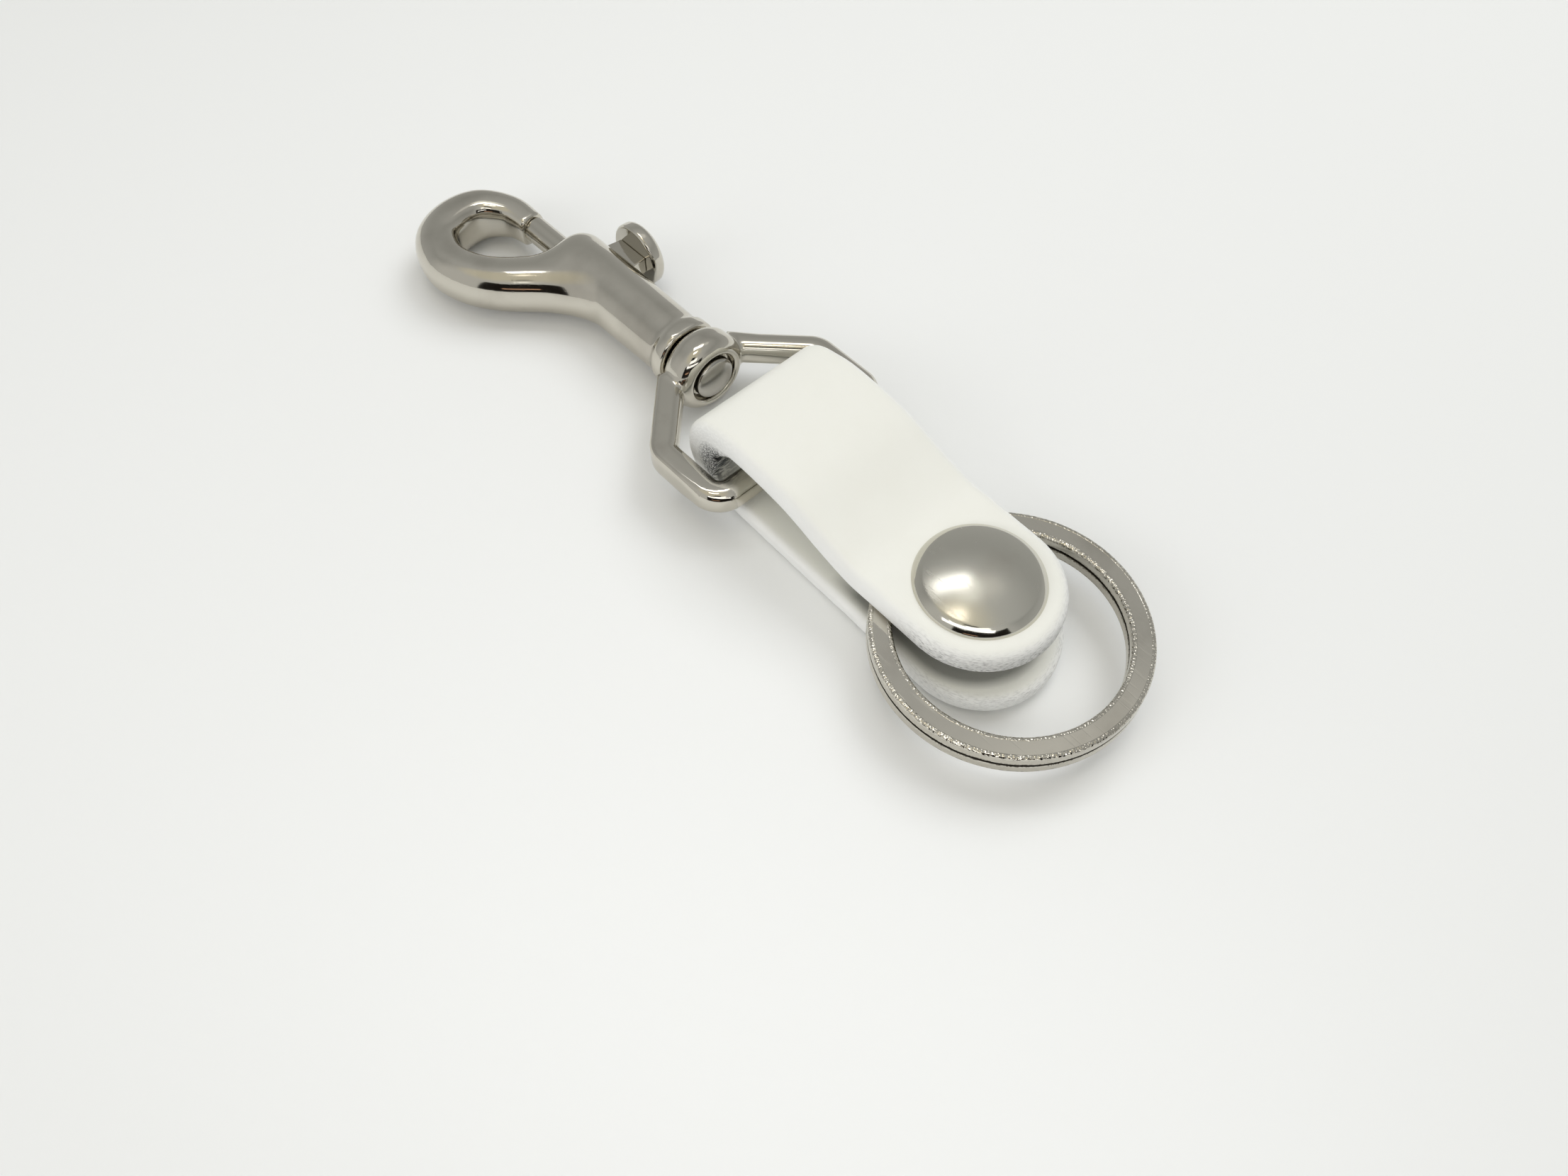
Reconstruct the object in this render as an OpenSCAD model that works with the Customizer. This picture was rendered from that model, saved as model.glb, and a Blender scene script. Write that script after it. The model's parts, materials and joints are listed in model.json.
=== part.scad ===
// Belt key clip: a swivel bolt snap, a folded leather strap closed by a press snap, and a split key ring.
// Millimetres. The clip lies on a table. Z is the axis of the press snap, with its origin on the table,
// +X runs along the strap towards the key ring and -X towards the hook.

/* [Leather strap] */
// Width of the strap
strap_w = 19.3; // [18:0.1:20]
// Thickness of the leather
strap_t = 3; // [2.8:0.1:3.2]
// Lower leather past the middle of the press snap
strap_end = 11.3; // [10.6:0.1:12]
// How far the flap stops short of the lower leather
flap_back = 1.4; // [0.4:0.1:1.8]
// How far the fold stands out past the middle of the crossbar
fold_reach = 9.3; // [9:0.1:10.5]
// Height of the strap's crown above the table
crown_h = 13.3; // [12.9:0.1:14]

/* [Press snap] */
// Diameter of the domed cap
cap_d = 15; // [14.4:0.1:16]
// Height of the domed cap above the leather
cap_h = 2.9; // [2.5:0.1:3.4]
// Sheet thickness of the snap parts
sheet_t = 0.45; // [0.4:0.05:0.5]
// Diameter of the socket under the flap
socket_d = 12.4; // [12:0.1:12.8]
// Diameter of the stud's flange
stud_d = 11.2; // [10.6:0.1:11.8]
// Largest diameter of the stud's button
button_d = 6.2; // [5.9:0.1:6.5]
// Outer diameter of the two hollow rivets that clinch the snap
post_d = 4; // [3.8:0.1:4.2]
// Diameter of the flange under the strap
foot_d = 9.5; // [8.8:0.1:10.4]
// Gap that the closed snap holds between the two layers of leather
snap_gap = 3.5; // [3.4:0.05:3.8]

/* [Key ring] */
// Outer diameter of the key ring
ring_d = 31.4; // [31:0.1:34]
// Width of the ring's flat wire
ring_w = 2.7; // [2.5:0.05:2.9]
// Thickness of the ring's flat wire
wire_t = 1.54; // [1.4:0.02:1.56]
// Play between the ring and the closed press snap
ring_slack = 1.4; // [1:0.1:2]

/* [Swivel loop] */
// Distance from the press snap to the middle of the loop's crossbar
bar_reach = 28.8; // [28:0.2:34]
// Width of the loop's bars
bar_w = 3.4; // [3:0.1:3.6]
// Thickness of the loop's bars
bar_t = 3.5; // [3.2:0.1:3.6]
// Clear width inside the loop
loop_inner_w = 21.6; // [21:0.1:22.6]
// Length of the loop's straight sides, from the crossbar's middle
side_l = 9.8; // [9:0.1:11]
// Distance from the crossbar's middle to the hub's face by the hook
hub_reach = 19.8; // [19.4:0.1:22]
// Diameter of the hub
hub_d = 10.4; // [9.8:0.1:11]
// Length of the hub
hub_l = 4.9; // [4.6:0.1:5.4]

/* [Hook body] */
// Length of the round barrel
barrel_l = 24.7; // [24.3:0.1:26]
// Diameter of the barrel at its collar end
barrel_d = 8.4; // [8.2:0.1:8.8]
// Diameter of the barrel at its mouth end
mouth_d = 8.8; // [8.7:0.1:9.2]
// Diameter of the collar that faces the hub
collar_d = 9.3; // [9.1:0.1:9.8]
// How far the bend reaches past the barrel's mouth
bend_reach = 15.6; // [15.2:0.1:16.4]
// How far the shank's middle stands off the barrel's axis
bend_drop = 13.05; // [12.7:0.05:13.6]
// Width of the shank
shank_w = 6.2; // [5.6:0.1:6.4]
// Thickness of the shank
shank_t = 6.8; // [6.4:0.1:6.9]

/* [Bolt and thumb knob] */
// Diameter of the sliding bolt
bolt_d = 3.5; // [3.2:0.1:3.6]
// Travel of the bolt
bolt_travel = 5.6; // [5:0.1:5.8]
// Diameter of the spring chamber
chamber_d = 4.9; // [4.8:0.1:5.1]
// Diameter of the thumb knob
knob_d = 8.6; // [7.8:0.1:8.7]
// Thickness of the thumb knob's head
knob_t = 2.8; // [2.4:0.1:3.2]
// Length of the thumb knob's neck along the barrel
neck_l = 6.2; // [5.6:0.1:6.4]
// Width of the thumb knob's neck
neck_w = 2.4; // [2:0.1:2.5]
// Wire diameter of the bolt spring
spring_wire = 0.5; // [0.4:0.02:0.5]
// Turns of the bolt spring
spring_turns = 6; // [5:1:6]

/* [Swivel rivet] */
// Diameter of the swivel rivet's head
rivet_head_d = 5.6; // [5.2:0.1:5.8]
// Diameter of the swivel rivet's shank
rivet_d = 3.2; // [3:0.1:3.4]

/* [Fits] */
// Clearance round a piece that turns or slides, on the radius
run_clear = 0.08; // [0.05:0.01:0.1]
// Clearance round a piece that is pressed or clinched, on the radius
seat_clear = 0.02; // [0.01:0.01:0.03]
// Gap between faces that pass each other
face_gap = 0.3; // [0.2:0.05:0.35]

/* [Hidden] */
$fn = 48;

// Colours
leather_white = [0.91, 0.9, 0.87];
nickel = [0.6, 0.58, 0.54];
dark_nickel = [0.5, 0.48, 0.45];
spring_steel = [0.42, 0.42, 0.43];

// One overrun serves every cut that runs out of its solid
over = 1;

// Heights of the leather at the press snap. The foot stands proud of the leather by foot_proud
foot_proud = 0.3;
foot_t = 0.7;
base_low = foot_proud;
base_top = base_low + strap_t;
flap_low = base_top + snap_gap;
flap_top = flap_low + strap_t;

// The key ring lies level, pinched between the two layers of leather
ring_r = ring_d / 2;
ring_inner_r = ring_r - ring_w;
turn_gap = 0.06;
ring_t = 2 * wire_t + turn_gap;
ring_clear = 0.16;
ring_low = base_top + ring_clear;
ring_reach = ring_inner_r - socket_d / 2 - ring_slack;
ring_near_x = ring_reach - ring_r;

// The loop, rivet and hook lie in one plane that leans down from the crossbar until the hub and the barrel's
// mouth both touch the table. Inside that plane, reach counts from the crossbar towards the hook
loop_half_w = loop_inner_w / 2 + bar_w / 2;
collar_reach = hub_reach + face_gap;
mouth_reach = collar_reach + barrel_l;
lean_reach = collar_reach + 0.86 * barrel_l;
clip_lean = asin((hub_d - mouth_d) / 2 / (lean_reach - hub_reach));
bar_h = hub_d / 2 + hub_reach * sin(clip_lean);

// The fold and the two layers. Points lie on the middle of the leather, as [along, height]. The fold leaves
// room for the crossbar's corners to turn past it
bar_x = -bar_reach;
rest_z = strap_t / 2;
crown_share = 0.07;
crown_x = bar_x - crown_share * fold_reach;
crown_z = crown_h - rest_z;
bar_edge = 0.5;
bar_turn_r = norm([bar_w / 2 - bar_edge, bar_t / 2 - bar_edge]) + bar_edge;
under_bar_z = bar_h - bar_turn_r - run_clear - rest_z;
fold_r_share = 0.48;
fold_r = fold_r_share * (crown_z - under_bar_z);
fold_centre = [bar_x - fold_reach + rest_z + fold_r, under_bar_z + fold_r];
fold_steps = 5;
snap_flat = socket_d / 2 + face_gap;
sag_share = 0.62;
sag_clear = 0.09;
flap_near_z = max(flap_low, ring_low + ring_t + ring_clear) + rest_z;
// Shares of the way from the crown to the key ring, and of the fall between them
flap_shares = [[0.2, 0.97], [0.47, 0.79], [0.76, 0.31]];
base_path = concat(
    [
        [strap_end, base_low + rest_z],
        [0, base_low + rest_z],
        [-snap_flat, base_low + rest_z],
        [-snap_flat - strap_t, base_low + rest_z],
        [-sag_share * bar_reach, rest_z + sag_clear],
        [bar_x + 0.12 * fold_reach, under_bar_z - 0.03 * fold_reach]
    ],
    arc(fold_centre, fold_r, -90, -270, fold_steps),
    [[crown_x, crown_z]]
);
flap_path = concat(
    [[crown_x + face_gap, crown_z]],
    [for (row = flap_shares) [
        crown_x + row[0] * (ring_near_x - crown_x),
        flap_near_z + row[1] * (crown_z - flap_near_z)
    ]],
    [
        [ring_near_x, flap_near_z],
        [-snap_flat, flap_low + rest_z],
        [0, flap_low + rest_z],
        [strap_end - flap_back, flap_low + rest_z]
    ]
);
path_steps = 6;

// The barrel's inside, from the collar to the mouth
plug_l = 4;
bolt_head_d = chamber_d - 2 * run_clear;
back_margin = 1.2;
front_margin = 0.5;
bolt_head_l = neck_l + back_margin + front_margin;
front_wall = 1.6;
bolt_front = mouth_reach - front_wall - face_gap;
bolt_back = bolt_front - bolt_head_l;
neck_start = bolt_back + back_margin;
neck_end = neck_start + neck_l;
knob_offset = 0.4;
knob_reach = (neck_start + neck_end) / 2 - knob_offset;
slot_w = neck_w + 2 * face_gap;

// The shank's middle line from the barrel round the bend to the nose. Each row holds shares of the way from
// the mouth to the bend, of the drop, and of the half width and half thickness of the shank
shank_shares = [
    [-0.757, 0, 1.3, 1.17],
    [-0.465, 0.13, 1.2, 1.12],
    [-0.19, 0.39, 1.04, 1.06],
    [0.09, 0.75, 0.94, 1],
    [0.334, 0.94, 0.91, 1],
    [0.607, 1, 0.93, 1],
    [0.885, 0.87, 0.95, 1],
    [1, 0.58, 0.95, 1],
    [0.965, 0.27, 0.88, 0.94],
    [0.75, 0.057, 0.75, 0.8],
    [0.485, 0.012, 0.63, 0.64]
];
shank_steps = 4;
shank_sides = 20;
nose_reach = mouth_reach + bend_reach * shank_shares[len(shank_shares) - 1][0];
bolt_tip = nose_reach - face_gap / 2;

// Curve through points, with a few steps from each point to the next
function bend_point(a, b, c, d, t) =
    (2 * b + (c - a) * t + (2 * a - 5 * b + 4 * c - d) * t * t + (3 * b - a - 3 * c + d) * t * t * t) / 2;
function before(p) = 2 * p[0] - p[1];
function after(p) = 2 * p[len(p) - 1] - p[len(p) - 2];
function curve(p, steps) =
    let(q = concat([before(p)], p, [after(p)]))
    concat([for (i = [1:len(p) - 1], s = [0:steps - 1])
        bend_point(q[i - 1], q[i], q[i + 1], q[i + 2], s / steps)], [p[len(p) - 1]]);

// Direction and left-hand normal of a flat path at one of its points
function unit(v) = v / norm(v);
function along(p, i) = unit(p[min(i + 1, len(p) - 1)] - p[max(i - 1, 0)]);
function left_of(d) = [-d[1], d[0]];
function offset_path(p, d) = [for (i = [0:len(p) - 1]) p[i] + d * left_of(along(p, i))];
function reversed(p) = [for (i = [len(p) - 1:-1:0]) p[i]];

// Points of an arc about a centre
function arc(c, r, a0, a1, n) =
    [for (i = [0:n]) let(a = a0 + (a1 - a0) * i / n) c + r * [cos(a), sin(a)]];

// Closed skin over rings of points that all have the same count
module skin(rings) {
    n = len(rings[0]);
    m = len(rings);
    points = [for (ring = rings) each ring];
    sides = [for (i = [0:m - 2], j = [0:n - 1]) each [
        [i * n + j, (i + 1) * n + (j + 1) % n, i * n + (j + 1) % n],
        [i * n + j, (i + 1) * n + j, (i + 1) * n + (j + 1) % n]
    ]];
    start = [for (j = [1:n - 2]) [0, j, j + 1]];
    finish = [for (j = [1:n - 2]) [(m - 1) * n, (m - 1) * n + j + 1, (m - 1) * n + j]];
    polyhedron(points, concat(start, sides, finish));
}

// Puts a shape drawn in the plane of the loop and hook, with reach along +X, where that plane lies
module in_clip_plane() {
    translate([bar_x, 0, bar_h])
        rotate([0, -clip_lean, 0])
            mirror([1, 0, 0])
                children();
}

// Turns a shape drawn about Z so that its Z runs along the reach, starting at a given reach
module on_axis(reach) {
    translate([reach, 0, 0]) rotate([0, 90, 0]) children();
}

// One layer of the strap: the leather's side view carried across its width, then trimmed to a round end
module strap_layer(path, end_x) {
    middle = curve(path, path_steps);
    low_end = bar_x - fold_reach - over;
    intersection() {
        translate([0, strap_w / 2, 0])
            rotate([90, 0, 0])
                linear_extrude(strap_w)
                    polygon(concat(offset_path(middle, rest_z), reversed(offset_path(middle, -rest_z))));
        translate([0, 0, -over])
            linear_extrude(crown_h + 2 * over)
                union() {
                    translate([end_x - strap_w / 2, 0]) circle(d = strap_w, $fn = 96);
                    translate([low_end, -strap_w / 2]) square([end_x - strap_w / 2 - low_end, strap_w]);
                }
    }
}

module strap_base() {
    color(leather_white)
        difference() {
            strap_layer(base_path, strap_end);
            translate([0, 0, -over]) cylinder(h = base_top + 2 * over, d = post_d + 2 * seat_clear);
            translate([0, 0, -over]) cylinder(h = over + foot_t + seat_clear, d = foot_d + 2 * seat_clear);
        }
}

module strap_flap() {
    color(leather_white)
        difference() {
            strap_layer(flap_path, strap_end - flap_back);
            translate([0, 0, flap_low - over]) cylinder(h = strap_t + 2 * over, d = post_d + 2 * seat_clear);
        }
}

// Domed cap: a thin shell whose rim rolls under to grip the flange of its hollow rivet
rim_r = 0.5;
cap_r = cap_d / 2;
dome_rise = cap_h - 2 * rim_r;
dome_foot_r = cap_r - 0.3 * rim_r;
dome_r = (pow(dome_foot_r, 2) + pow(dome_rise, 2)) / (2 * dome_rise);
dome_half_angle = asin(dome_foot_r / dome_r);
grip_r = cap_r - 4 * rim_r;

module snap_cap() {
    dome_top = flap_top + cap_h;
    centre = [0, dome_top - dome_r];
    outer = arc(centre, dome_r, 90, 90 - dome_half_angle, 10);
    rim = arc([cap_r - rim_r, flap_top + rim_r], rim_r, 45, -90, 5);
    inner = arc(centre, dome_r - sheet_t, 90 - 0.94 * dome_half_angle, 90, 10);
    lip_top = flap_top + 0.5 * sheet_t;
    lip = [[grip_r, flap_top], [grip_r, lip_top], [cap_r - rim_r - sheet_t, lip_top]];
    color(nickel)
        rotate_extrude($fn = 96)
            polygon(concat(outer, rim, lip, [[cap_r - rim_r - 0.2 * sheet_t, flap_top + rim_r]], inner));
}

// Hollow rivet with a flange. It stands on its flange at a height and its tube runs up or down, and its far
// end is flared over the piece that it holds
module hollow_rivet(flange_d, flange_t, length, flare_d) {
    flare_t = sheet_t;
    bore_r = post_d / 2 - sheet_t;
    rotate_extrude()
        polygon([
            [0, 0],
            [flange_d / 2, 0],
            [flange_d / 2, flange_t],
            [post_d / 2, flange_t],
            [post_d / 2, length - flare_t],
            [flare_d / 2, length - flare_t],
            [flare_d / 2, length - 0.4 * flare_t],
            [bore_r + 0.5 * flare_t, length],
            [bore_r, length - 0.5 * flare_t],
            [bore_r, flange_t],
            [0, flange_t]
        ]);
}

flare_d = button_d - 2 * sheet_t - 4 * run_clear;
cap_post_l = strap_t + 3 * sheet_t + 2 * seat_clear;

module snap_cap_post() {
    color(dark_nickel)
        translate([0, 0, flap_top + seat_clear + sheet_t])
            mirror([0, 0, 1])
                hollow_rivet(2 * (grip_r - seat_clear), sheet_t, cap_post_l, flare_d);
}

// Socket under the flap: a plate with a deep rolled wall that holds the ring-shaped spring
stud_flange_top = base_top + sheet_t;
socket_low = stud_flange_top + 0.5 * face_gap;
socket_plate_low = flap_low - sheet_t;
mouth_r = button_d / 2 + face_gap + run_clear;
snap_spring_wire = 0.5;
groove_low = socket_low + 1.6 * sheet_t;
groove_h = snap_spring_wire + 2 * run_clear;
groove_r = mouth_r + snap_spring_wire;

module snap_socket() {
    color(nickel)
        rotate_extrude($fn = 72)
            polygon([
                [post_d / 2 + seat_clear, flap_low],
                [post_d / 2 + seat_clear, socket_plate_low],
                [mouth_r, socket_plate_low],
                [mouth_r, groove_low + groove_h],
                [groove_r, groove_low + groove_h],
                [groove_r, groove_low],
                [mouth_r, groove_low],
                [mouth_r, socket_low + 0.5 * sheet_t],
                [mouth_r + 0.5 * sheet_t, socket_low],
                [socket_d / 2 - sheet_t, socket_low],
                [socket_d / 2, socket_low + sheet_t],
                [socket_d / 2, flap_low - 0.5 * sheet_t],
                [socket_d / 2 - 0.5 * sheet_t, flap_low]
            ]);
}

// Ring-shaped wire spring in the socket's groove, open at one side
snap_spring_gap = 30;

module snap_spring() {
    color(spring_steel)
        translate([0, 0, groove_low + groove_h / 2])
            rotate([0, 0, snap_spring_gap / 2])
                rotate_extrude(angle = 360 - snap_spring_gap)
                    translate([groove_r - run_clear - snap_spring_wire / 2, 0])
                        circle(d = snap_spring_wire, $fn = 16);
}

// Stud on the lower leather: a flange and a hollow button with a bulge that the spring grips
button_h = snap_gap - 3 * sheet_t - 2 * seat_clear;
button_top = base_top + button_h;
button_bulge = 0.35;
neck_r = button_d / 2 - button_bulge;

module snap_stud() {
    color(nickel)
        rotate_extrude($fn = 72)
            polygon([
                [post_d / 2 + seat_clear, base_top],
                [stud_d / 2 - 0.5 * sheet_t, base_top],
                [stud_d / 2, base_top + 0.5 * sheet_t],
                [stud_d / 2 - 0.5 * sheet_t, stud_flange_top],
                [neck_r, stud_flange_top],
                [neck_r, groove_low + groove_h],
                [button_d / 2, button_top - 0.9 * sheet_t],
                [button_d / 2 - 0.8 * sheet_t, button_top],
                [neck_r - sheet_t, button_top],
                [neck_r - sheet_t, stud_flange_top],
                [post_d / 2 + seat_clear, stud_flange_top]
            ]);
}

stud_post_l = stud_flange_top + seat_clear + sheet_t;
stud_flare_d = 2 * (neck_r - sheet_t - run_clear);

module snap_post() {
    color(dark_nickel)
        hollow_rivet(foot_d, foot_t, stud_post_l, stud_flare_d);
}

// Split key ring: one flat wire wound twice round. It climbs from the lower turn to the upper one over a
// short ramp, and its two cut ends stand at the ramp
ramp_angle = 28;
cut_angle = 1.2;
ring_step = 7.2;
wire_edge = 0.15;
ring_cut_angle = 128;

// Height of the wire's underside at an angle of its two turns
function wire_level(a) = (wire_t + turn_gap) * min(1, max(0, (a - 360) / ramp_angle));
function wire_ring(a) =
    let(z = wire_level(a), wall = ring_w - wire_edge, top = wire_t - wire_edge)
    [for (p = [
        [0, wire_edge], [wire_edge, 0], [wall, 0], [ring_w, wire_edge],
        [ring_w, top], [wall, wire_t], [wire_edge, wire_t], [0, top]
    ]) [(ring_inner_r + p[0]) * cos(a), (ring_inner_r + p[0]) * sin(a), z + p[1]]];

module split_ring() {
    first = ramp_angle + cut_angle;
    last = 720 - cut_angle;
    steps = round((last - first) / ring_step);
    color(nickel)
        translate([ring_reach, 0, ring_low])
            rotate([0, 0, ring_cut_angle])
                skin([for (i = [0:steps]) wire_ring(first + (last - first) * i / steps)]);
}

// Swivel loop: a house-shaped bar with soft corners, and a drilled hub at its peak
hub_low = hub_reach - hub_l;
head_t = 1.5;
head_sink = 0.1;
recess_depth = head_t + head_sink;
recess_d = rivet_head_d + 2 * face_gap;
hub_edge = 1.5;
shoulder_r = 2.4;
corner_r = 2.2;
arm_in_share = 0.86;
arm_end_reach = hub_reach - 0.36 * hub_l;
bar_corner_steps = 3;
corner_steps = 5;
loop_corners = [
    [arm_end_reach, arm_in_share * hub_d / 2, 0],
    [side_l, loop_half_w, shoulder_r],
    [0, loop_half_w, corner_r],
    [0, -loop_half_w, corner_r],
    [side_l, -loop_half_w, shoulder_r],
    [arm_end_reach, -arm_in_share * hub_d / 2, 0]
];

// Points of a path with rounded corners. Each corner is [x, y, radius]
function corner_arc(a, b, c, n) =
    let(u = unit([a[0] - b[0], a[1] - b[1]]), v = unit([c[0] - b[0], c[1] - b[1]]))
    let(half = acos(u * v) / 2, m = unit(u + v), centre = [b[0], b[1]] + m * b[2] / sin(half))
    let(way = left_turn(u, v), a0 = atan2(-way * u[0], way * u[1]), turn = -way * (180 - 2 * half))
    [for (i = [0:n]) centre + b[2] * [cos(a0 + turn * i / n), sin(a0 + turn * i / n)]];
function left_turn(u, v) = sign(u[0] * v[1] - u[1] * v[0]);
function rounded_path(k, n) =
    concat([[k[0][0], k[0][1]]], [for (i = [1:len(k) - 2]) each corner_arc(k[i - 1], k[i], k[i + 1], n)],
        [[k[len(k) - 1][0], k[len(k) - 1][1]]]);

// A ring of points square to a flat path: the bar's section with its four rounded edges
function bar_section(w, t) =
    [for (way = [[1, 1, 0], [-1, 1, 90], [-1, -1, 180], [1, -1, 270]])
        each arc([way[0] * (w / 2 - bar_edge), way[1] * (t / 2 - bar_edge)], bar_edge, way[2], way[2] + 90,
            bar_corner_steps)];
function bar_ring(p, i, w, t) =
    let(side = left_of(along(p, i)))
    [for (q = bar_section(w, t)) [p[i][0] + q[0] * side[0], p[i][1] + q[0] * side[1], q[1]]];

module swivel_loop() {
    path = rounded_path(loop_corners, corner_steps);
    color(nickel)
        in_clip_plane()
            difference() {
                union() {
                    skin([for (i = [0:len(path) - 1]) bar_ring(path, i, bar_w, bar_t)]);
                    on_axis(hub_low)
                        rotate_extrude($fn = 64)
                            polygon(concat(
                                [[0, 0]],
                                [[hub_d / 2 - hub_edge, 0]],
                                arc([hub_d / 2 - hub_edge, hub_edge], hub_edge, -90, 0, 6),
                                arc([hub_d / 2 - hub_edge, hub_l - hub_edge], hub_edge, 0, 90, 6),
                                [[0, hub_l]]
                            ));
                }
                on_axis(hub_low - over) cylinder(h = hub_l + 2 * over, d = rivet_d + 2 * run_clear);
                on_axis(hub_low - over) cylinder(h = over + recess_depth, d = recess_d);
            }
}

// Swivel rivet: its domed head sits in the hub's recess, and its plug is pressed into the barrel
module swivel_rivet() {
    plug_d = chamber_d - 2 * seat_clear;
    head_low = hub_low + recess_depth - head_t - run_clear;
    dome_t = 0.4 * head_t;
    color(dark_nickel)
        in_clip_plane()
            union() {
                on_axis(head_low)
                    rotate_extrude()
                        polygon([
                            [0, 0],
                            [0.3 * rivet_head_d, 0.25 * dome_t],
                            [0.42 * rivet_head_d, 0.6 * dome_t],
                            [rivet_head_d / 2, dome_t],
                            [rivet_head_d / 2, head_t],
                            [0, head_t]
                        ]);
                on_axis(head_low + head_t) cylinder(h = collar_reach - head_low - head_t, d = rivet_d);
                on_axis(collar_reach) cylinder(h = plug_l, d = plug_d);
            }
}

// Hook body: one casting with a barrel, a web and a bent shank that ends in a nose in front of the bolt
function ellipse_ring(p, i, w, t) =
    let(d = along(p, i), side = left_of([d[0], d[1]]))
    [for (j = [0:shank_sides - 1])
        let(a = 360 * j / shank_sides, s = cos(a) * w, h = sin(a) * t)
        [p[i][0] + s * side[0], p[i][1] + s * side[1], h]];
function flat_of(p) = [for (q = p) [q[0], q[1]]];

collar_l = 1.6;
collar_edge = 0.35;
mouth_edge = 1.6;
mouth_from = 20;

module barrel() {
    on_axis(collar_reach)
        rotate_extrude($fn = 72)
            polygon(concat(
                [[0, 0], [collar_d / 2 - collar_edge, 0], [collar_d / 2, collar_edge]],
                [[collar_d / 2, collar_l - collar_edge], [barrel_d / 2, collar_l + collar_edge]],
                [[mouth_d / 2, 0.62 * barrel_l], [mouth_d / 2, 0.86 * barrel_l]],
                arc([mouth_d / 2 - mouth_edge, barrel_l - mouth_edge], mouth_edge, mouth_from, 90, 6),
                [[0, barrel_l]]
            ));
}

module shank() {
    rows = [for (row = shank_shares) [
        mouth_reach + bend_reach * row[0],
        -bend_drop * row[1],
        shank_w / 2 * row[2],
        shank_t / 2 * row[3]
    ]];
    line = curve(rows, shank_steps);
    flat = flat_of(line);
    skin([for (i = [0:len(line) - 1]) ellipse_ring(flat, i, line[i][2], line[i][3])]);
}

// Solid web between the barrel's mouth and the shank, on the inside of the bend
module web() {
    web_r = shank_t / 2;
    hull() {
        translate([mouth_reach - web_r, -0.1 * bend_drop, 0]) sphere(r = web_r, $fn = 32);
        translate([mouth_reach - web_r, -0.33 * bend_drop, 0]) sphere(r = web_r, $fn = 32);
        translate([mouth_reach - 0.24 * barrel_l, -0.1 * bend_drop, 0]) sphere(r = web_r, $fn = 32);
    }
}

module hook_body() {
    slot_round = sqrt(pow(slot_w / 2, 2) - pow(neck_w / 2, 2));
    slot_start = neck_start - bolt_travel - face_gap + slot_round;
    slot_end = neck_end + face_gap - slot_round;
    color(nickel)
        in_clip_plane()
            difference() {
                union() {
                    barrel();
                    shank();
                    web();
                }
                on_axis(collar_reach - over) cylinder(h = over + barrel_l - front_wall, d = chamber_d);
                on_axis(collar_reach) cylinder(h = barrel_l + over, d = bolt_d + 2 * run_clear);
                translate([slot_start, 0, -slot_w / 2]) cube([slot_end - slot_start, mouth_d, slot_w]);
                for (x = [slot_start, slot_end])
                    translate([x, 0, 0]) rotate([-90, 0, 0]) cylinder(h = mouth_d, d = slot_w);
            }
}

// Bolt: a round rod that closes the hook, with a thicker head that slides in the chamber
pin_d = 1.8;
spigot_d = 2.2;
spigot_l = 1.6;

module bolt() {
    tip_edge = 0.3;
    color(nickel)
        in_clip_plane()
            difference() {
                union() {
                    on_axis(bolt_back) cylinder(h = bolt_head_l, d = bolt_head_d);
                    on_axis(bolt_back - spigot_l) cylinder(h = spigot_l + over, d = spigot_d);
                    on_axis(bolt_front) cylinder(h = bolt_tip - bolt_front - tip_edge, d = bolt_d);
                    on_axis(bolt_tip - tip_edge)
                        cylinder(h = tip_edge, d1 = bolt_d, d2 = bolt_d - 2 * tip_edge);
                }
                translate([knob_reach, 0, 0])
                    rotate([-90, 0, 0])
                        cylinder(h = chamber_d, d = pin_d + 2 * seat_clear);
                translate([neck_start - seat_clear, neck_seat, -neck_w / 2 - seat_clear])
                    cube([neck_l + 2 * seat_clear, chamber_d, neck_w + 2 * seat_clear]);
            }
}

// Thumb knob: a pin pressed into the bolt, a flat neck through the slot and a domed round head
neck_seat = bolt_head_d / 2 - 0.7;
neck_rise = 2.1;
knob_low = mouth_d / 2 + neck_rise;

module thumb_knob() {
    head_r = knob_d / 2;
    rim_t = 0.35 * knob_t;
    rise = knob_t - rim_t;
    ball_r = (pow(head_r, 2) + pow(rise, 2)) / (2 * rise);
    half_angle = asin(head_r / ball_r);
    color(nickel)
        in_clip_plane()
            union() {
                translate([knob_reach, 0, 0])
                    rotate([-90, 0, 0])
                        cylinder(h = neck_seat + over / 2, d = pin_d);
                translate([neck_start, neck_seat, -neck_w / 2]) cube([neck_l, knob_low - neck_seat, neck_w]);
                translate([knob_reach, knob_low, 0])
                    rotate([-90, 0, 0])
                        rotate_extrude($fn = 64)
                            polygon(concat(
                                [[0, 0], [head_r - 0.5 * rim_t, 0], [head_r, 0.5 * rim_t]],
                                arc([0, knob_t - ball_r], ball_r, 90 - half_angle, 90, 8)
                            ));
            }
}

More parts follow.
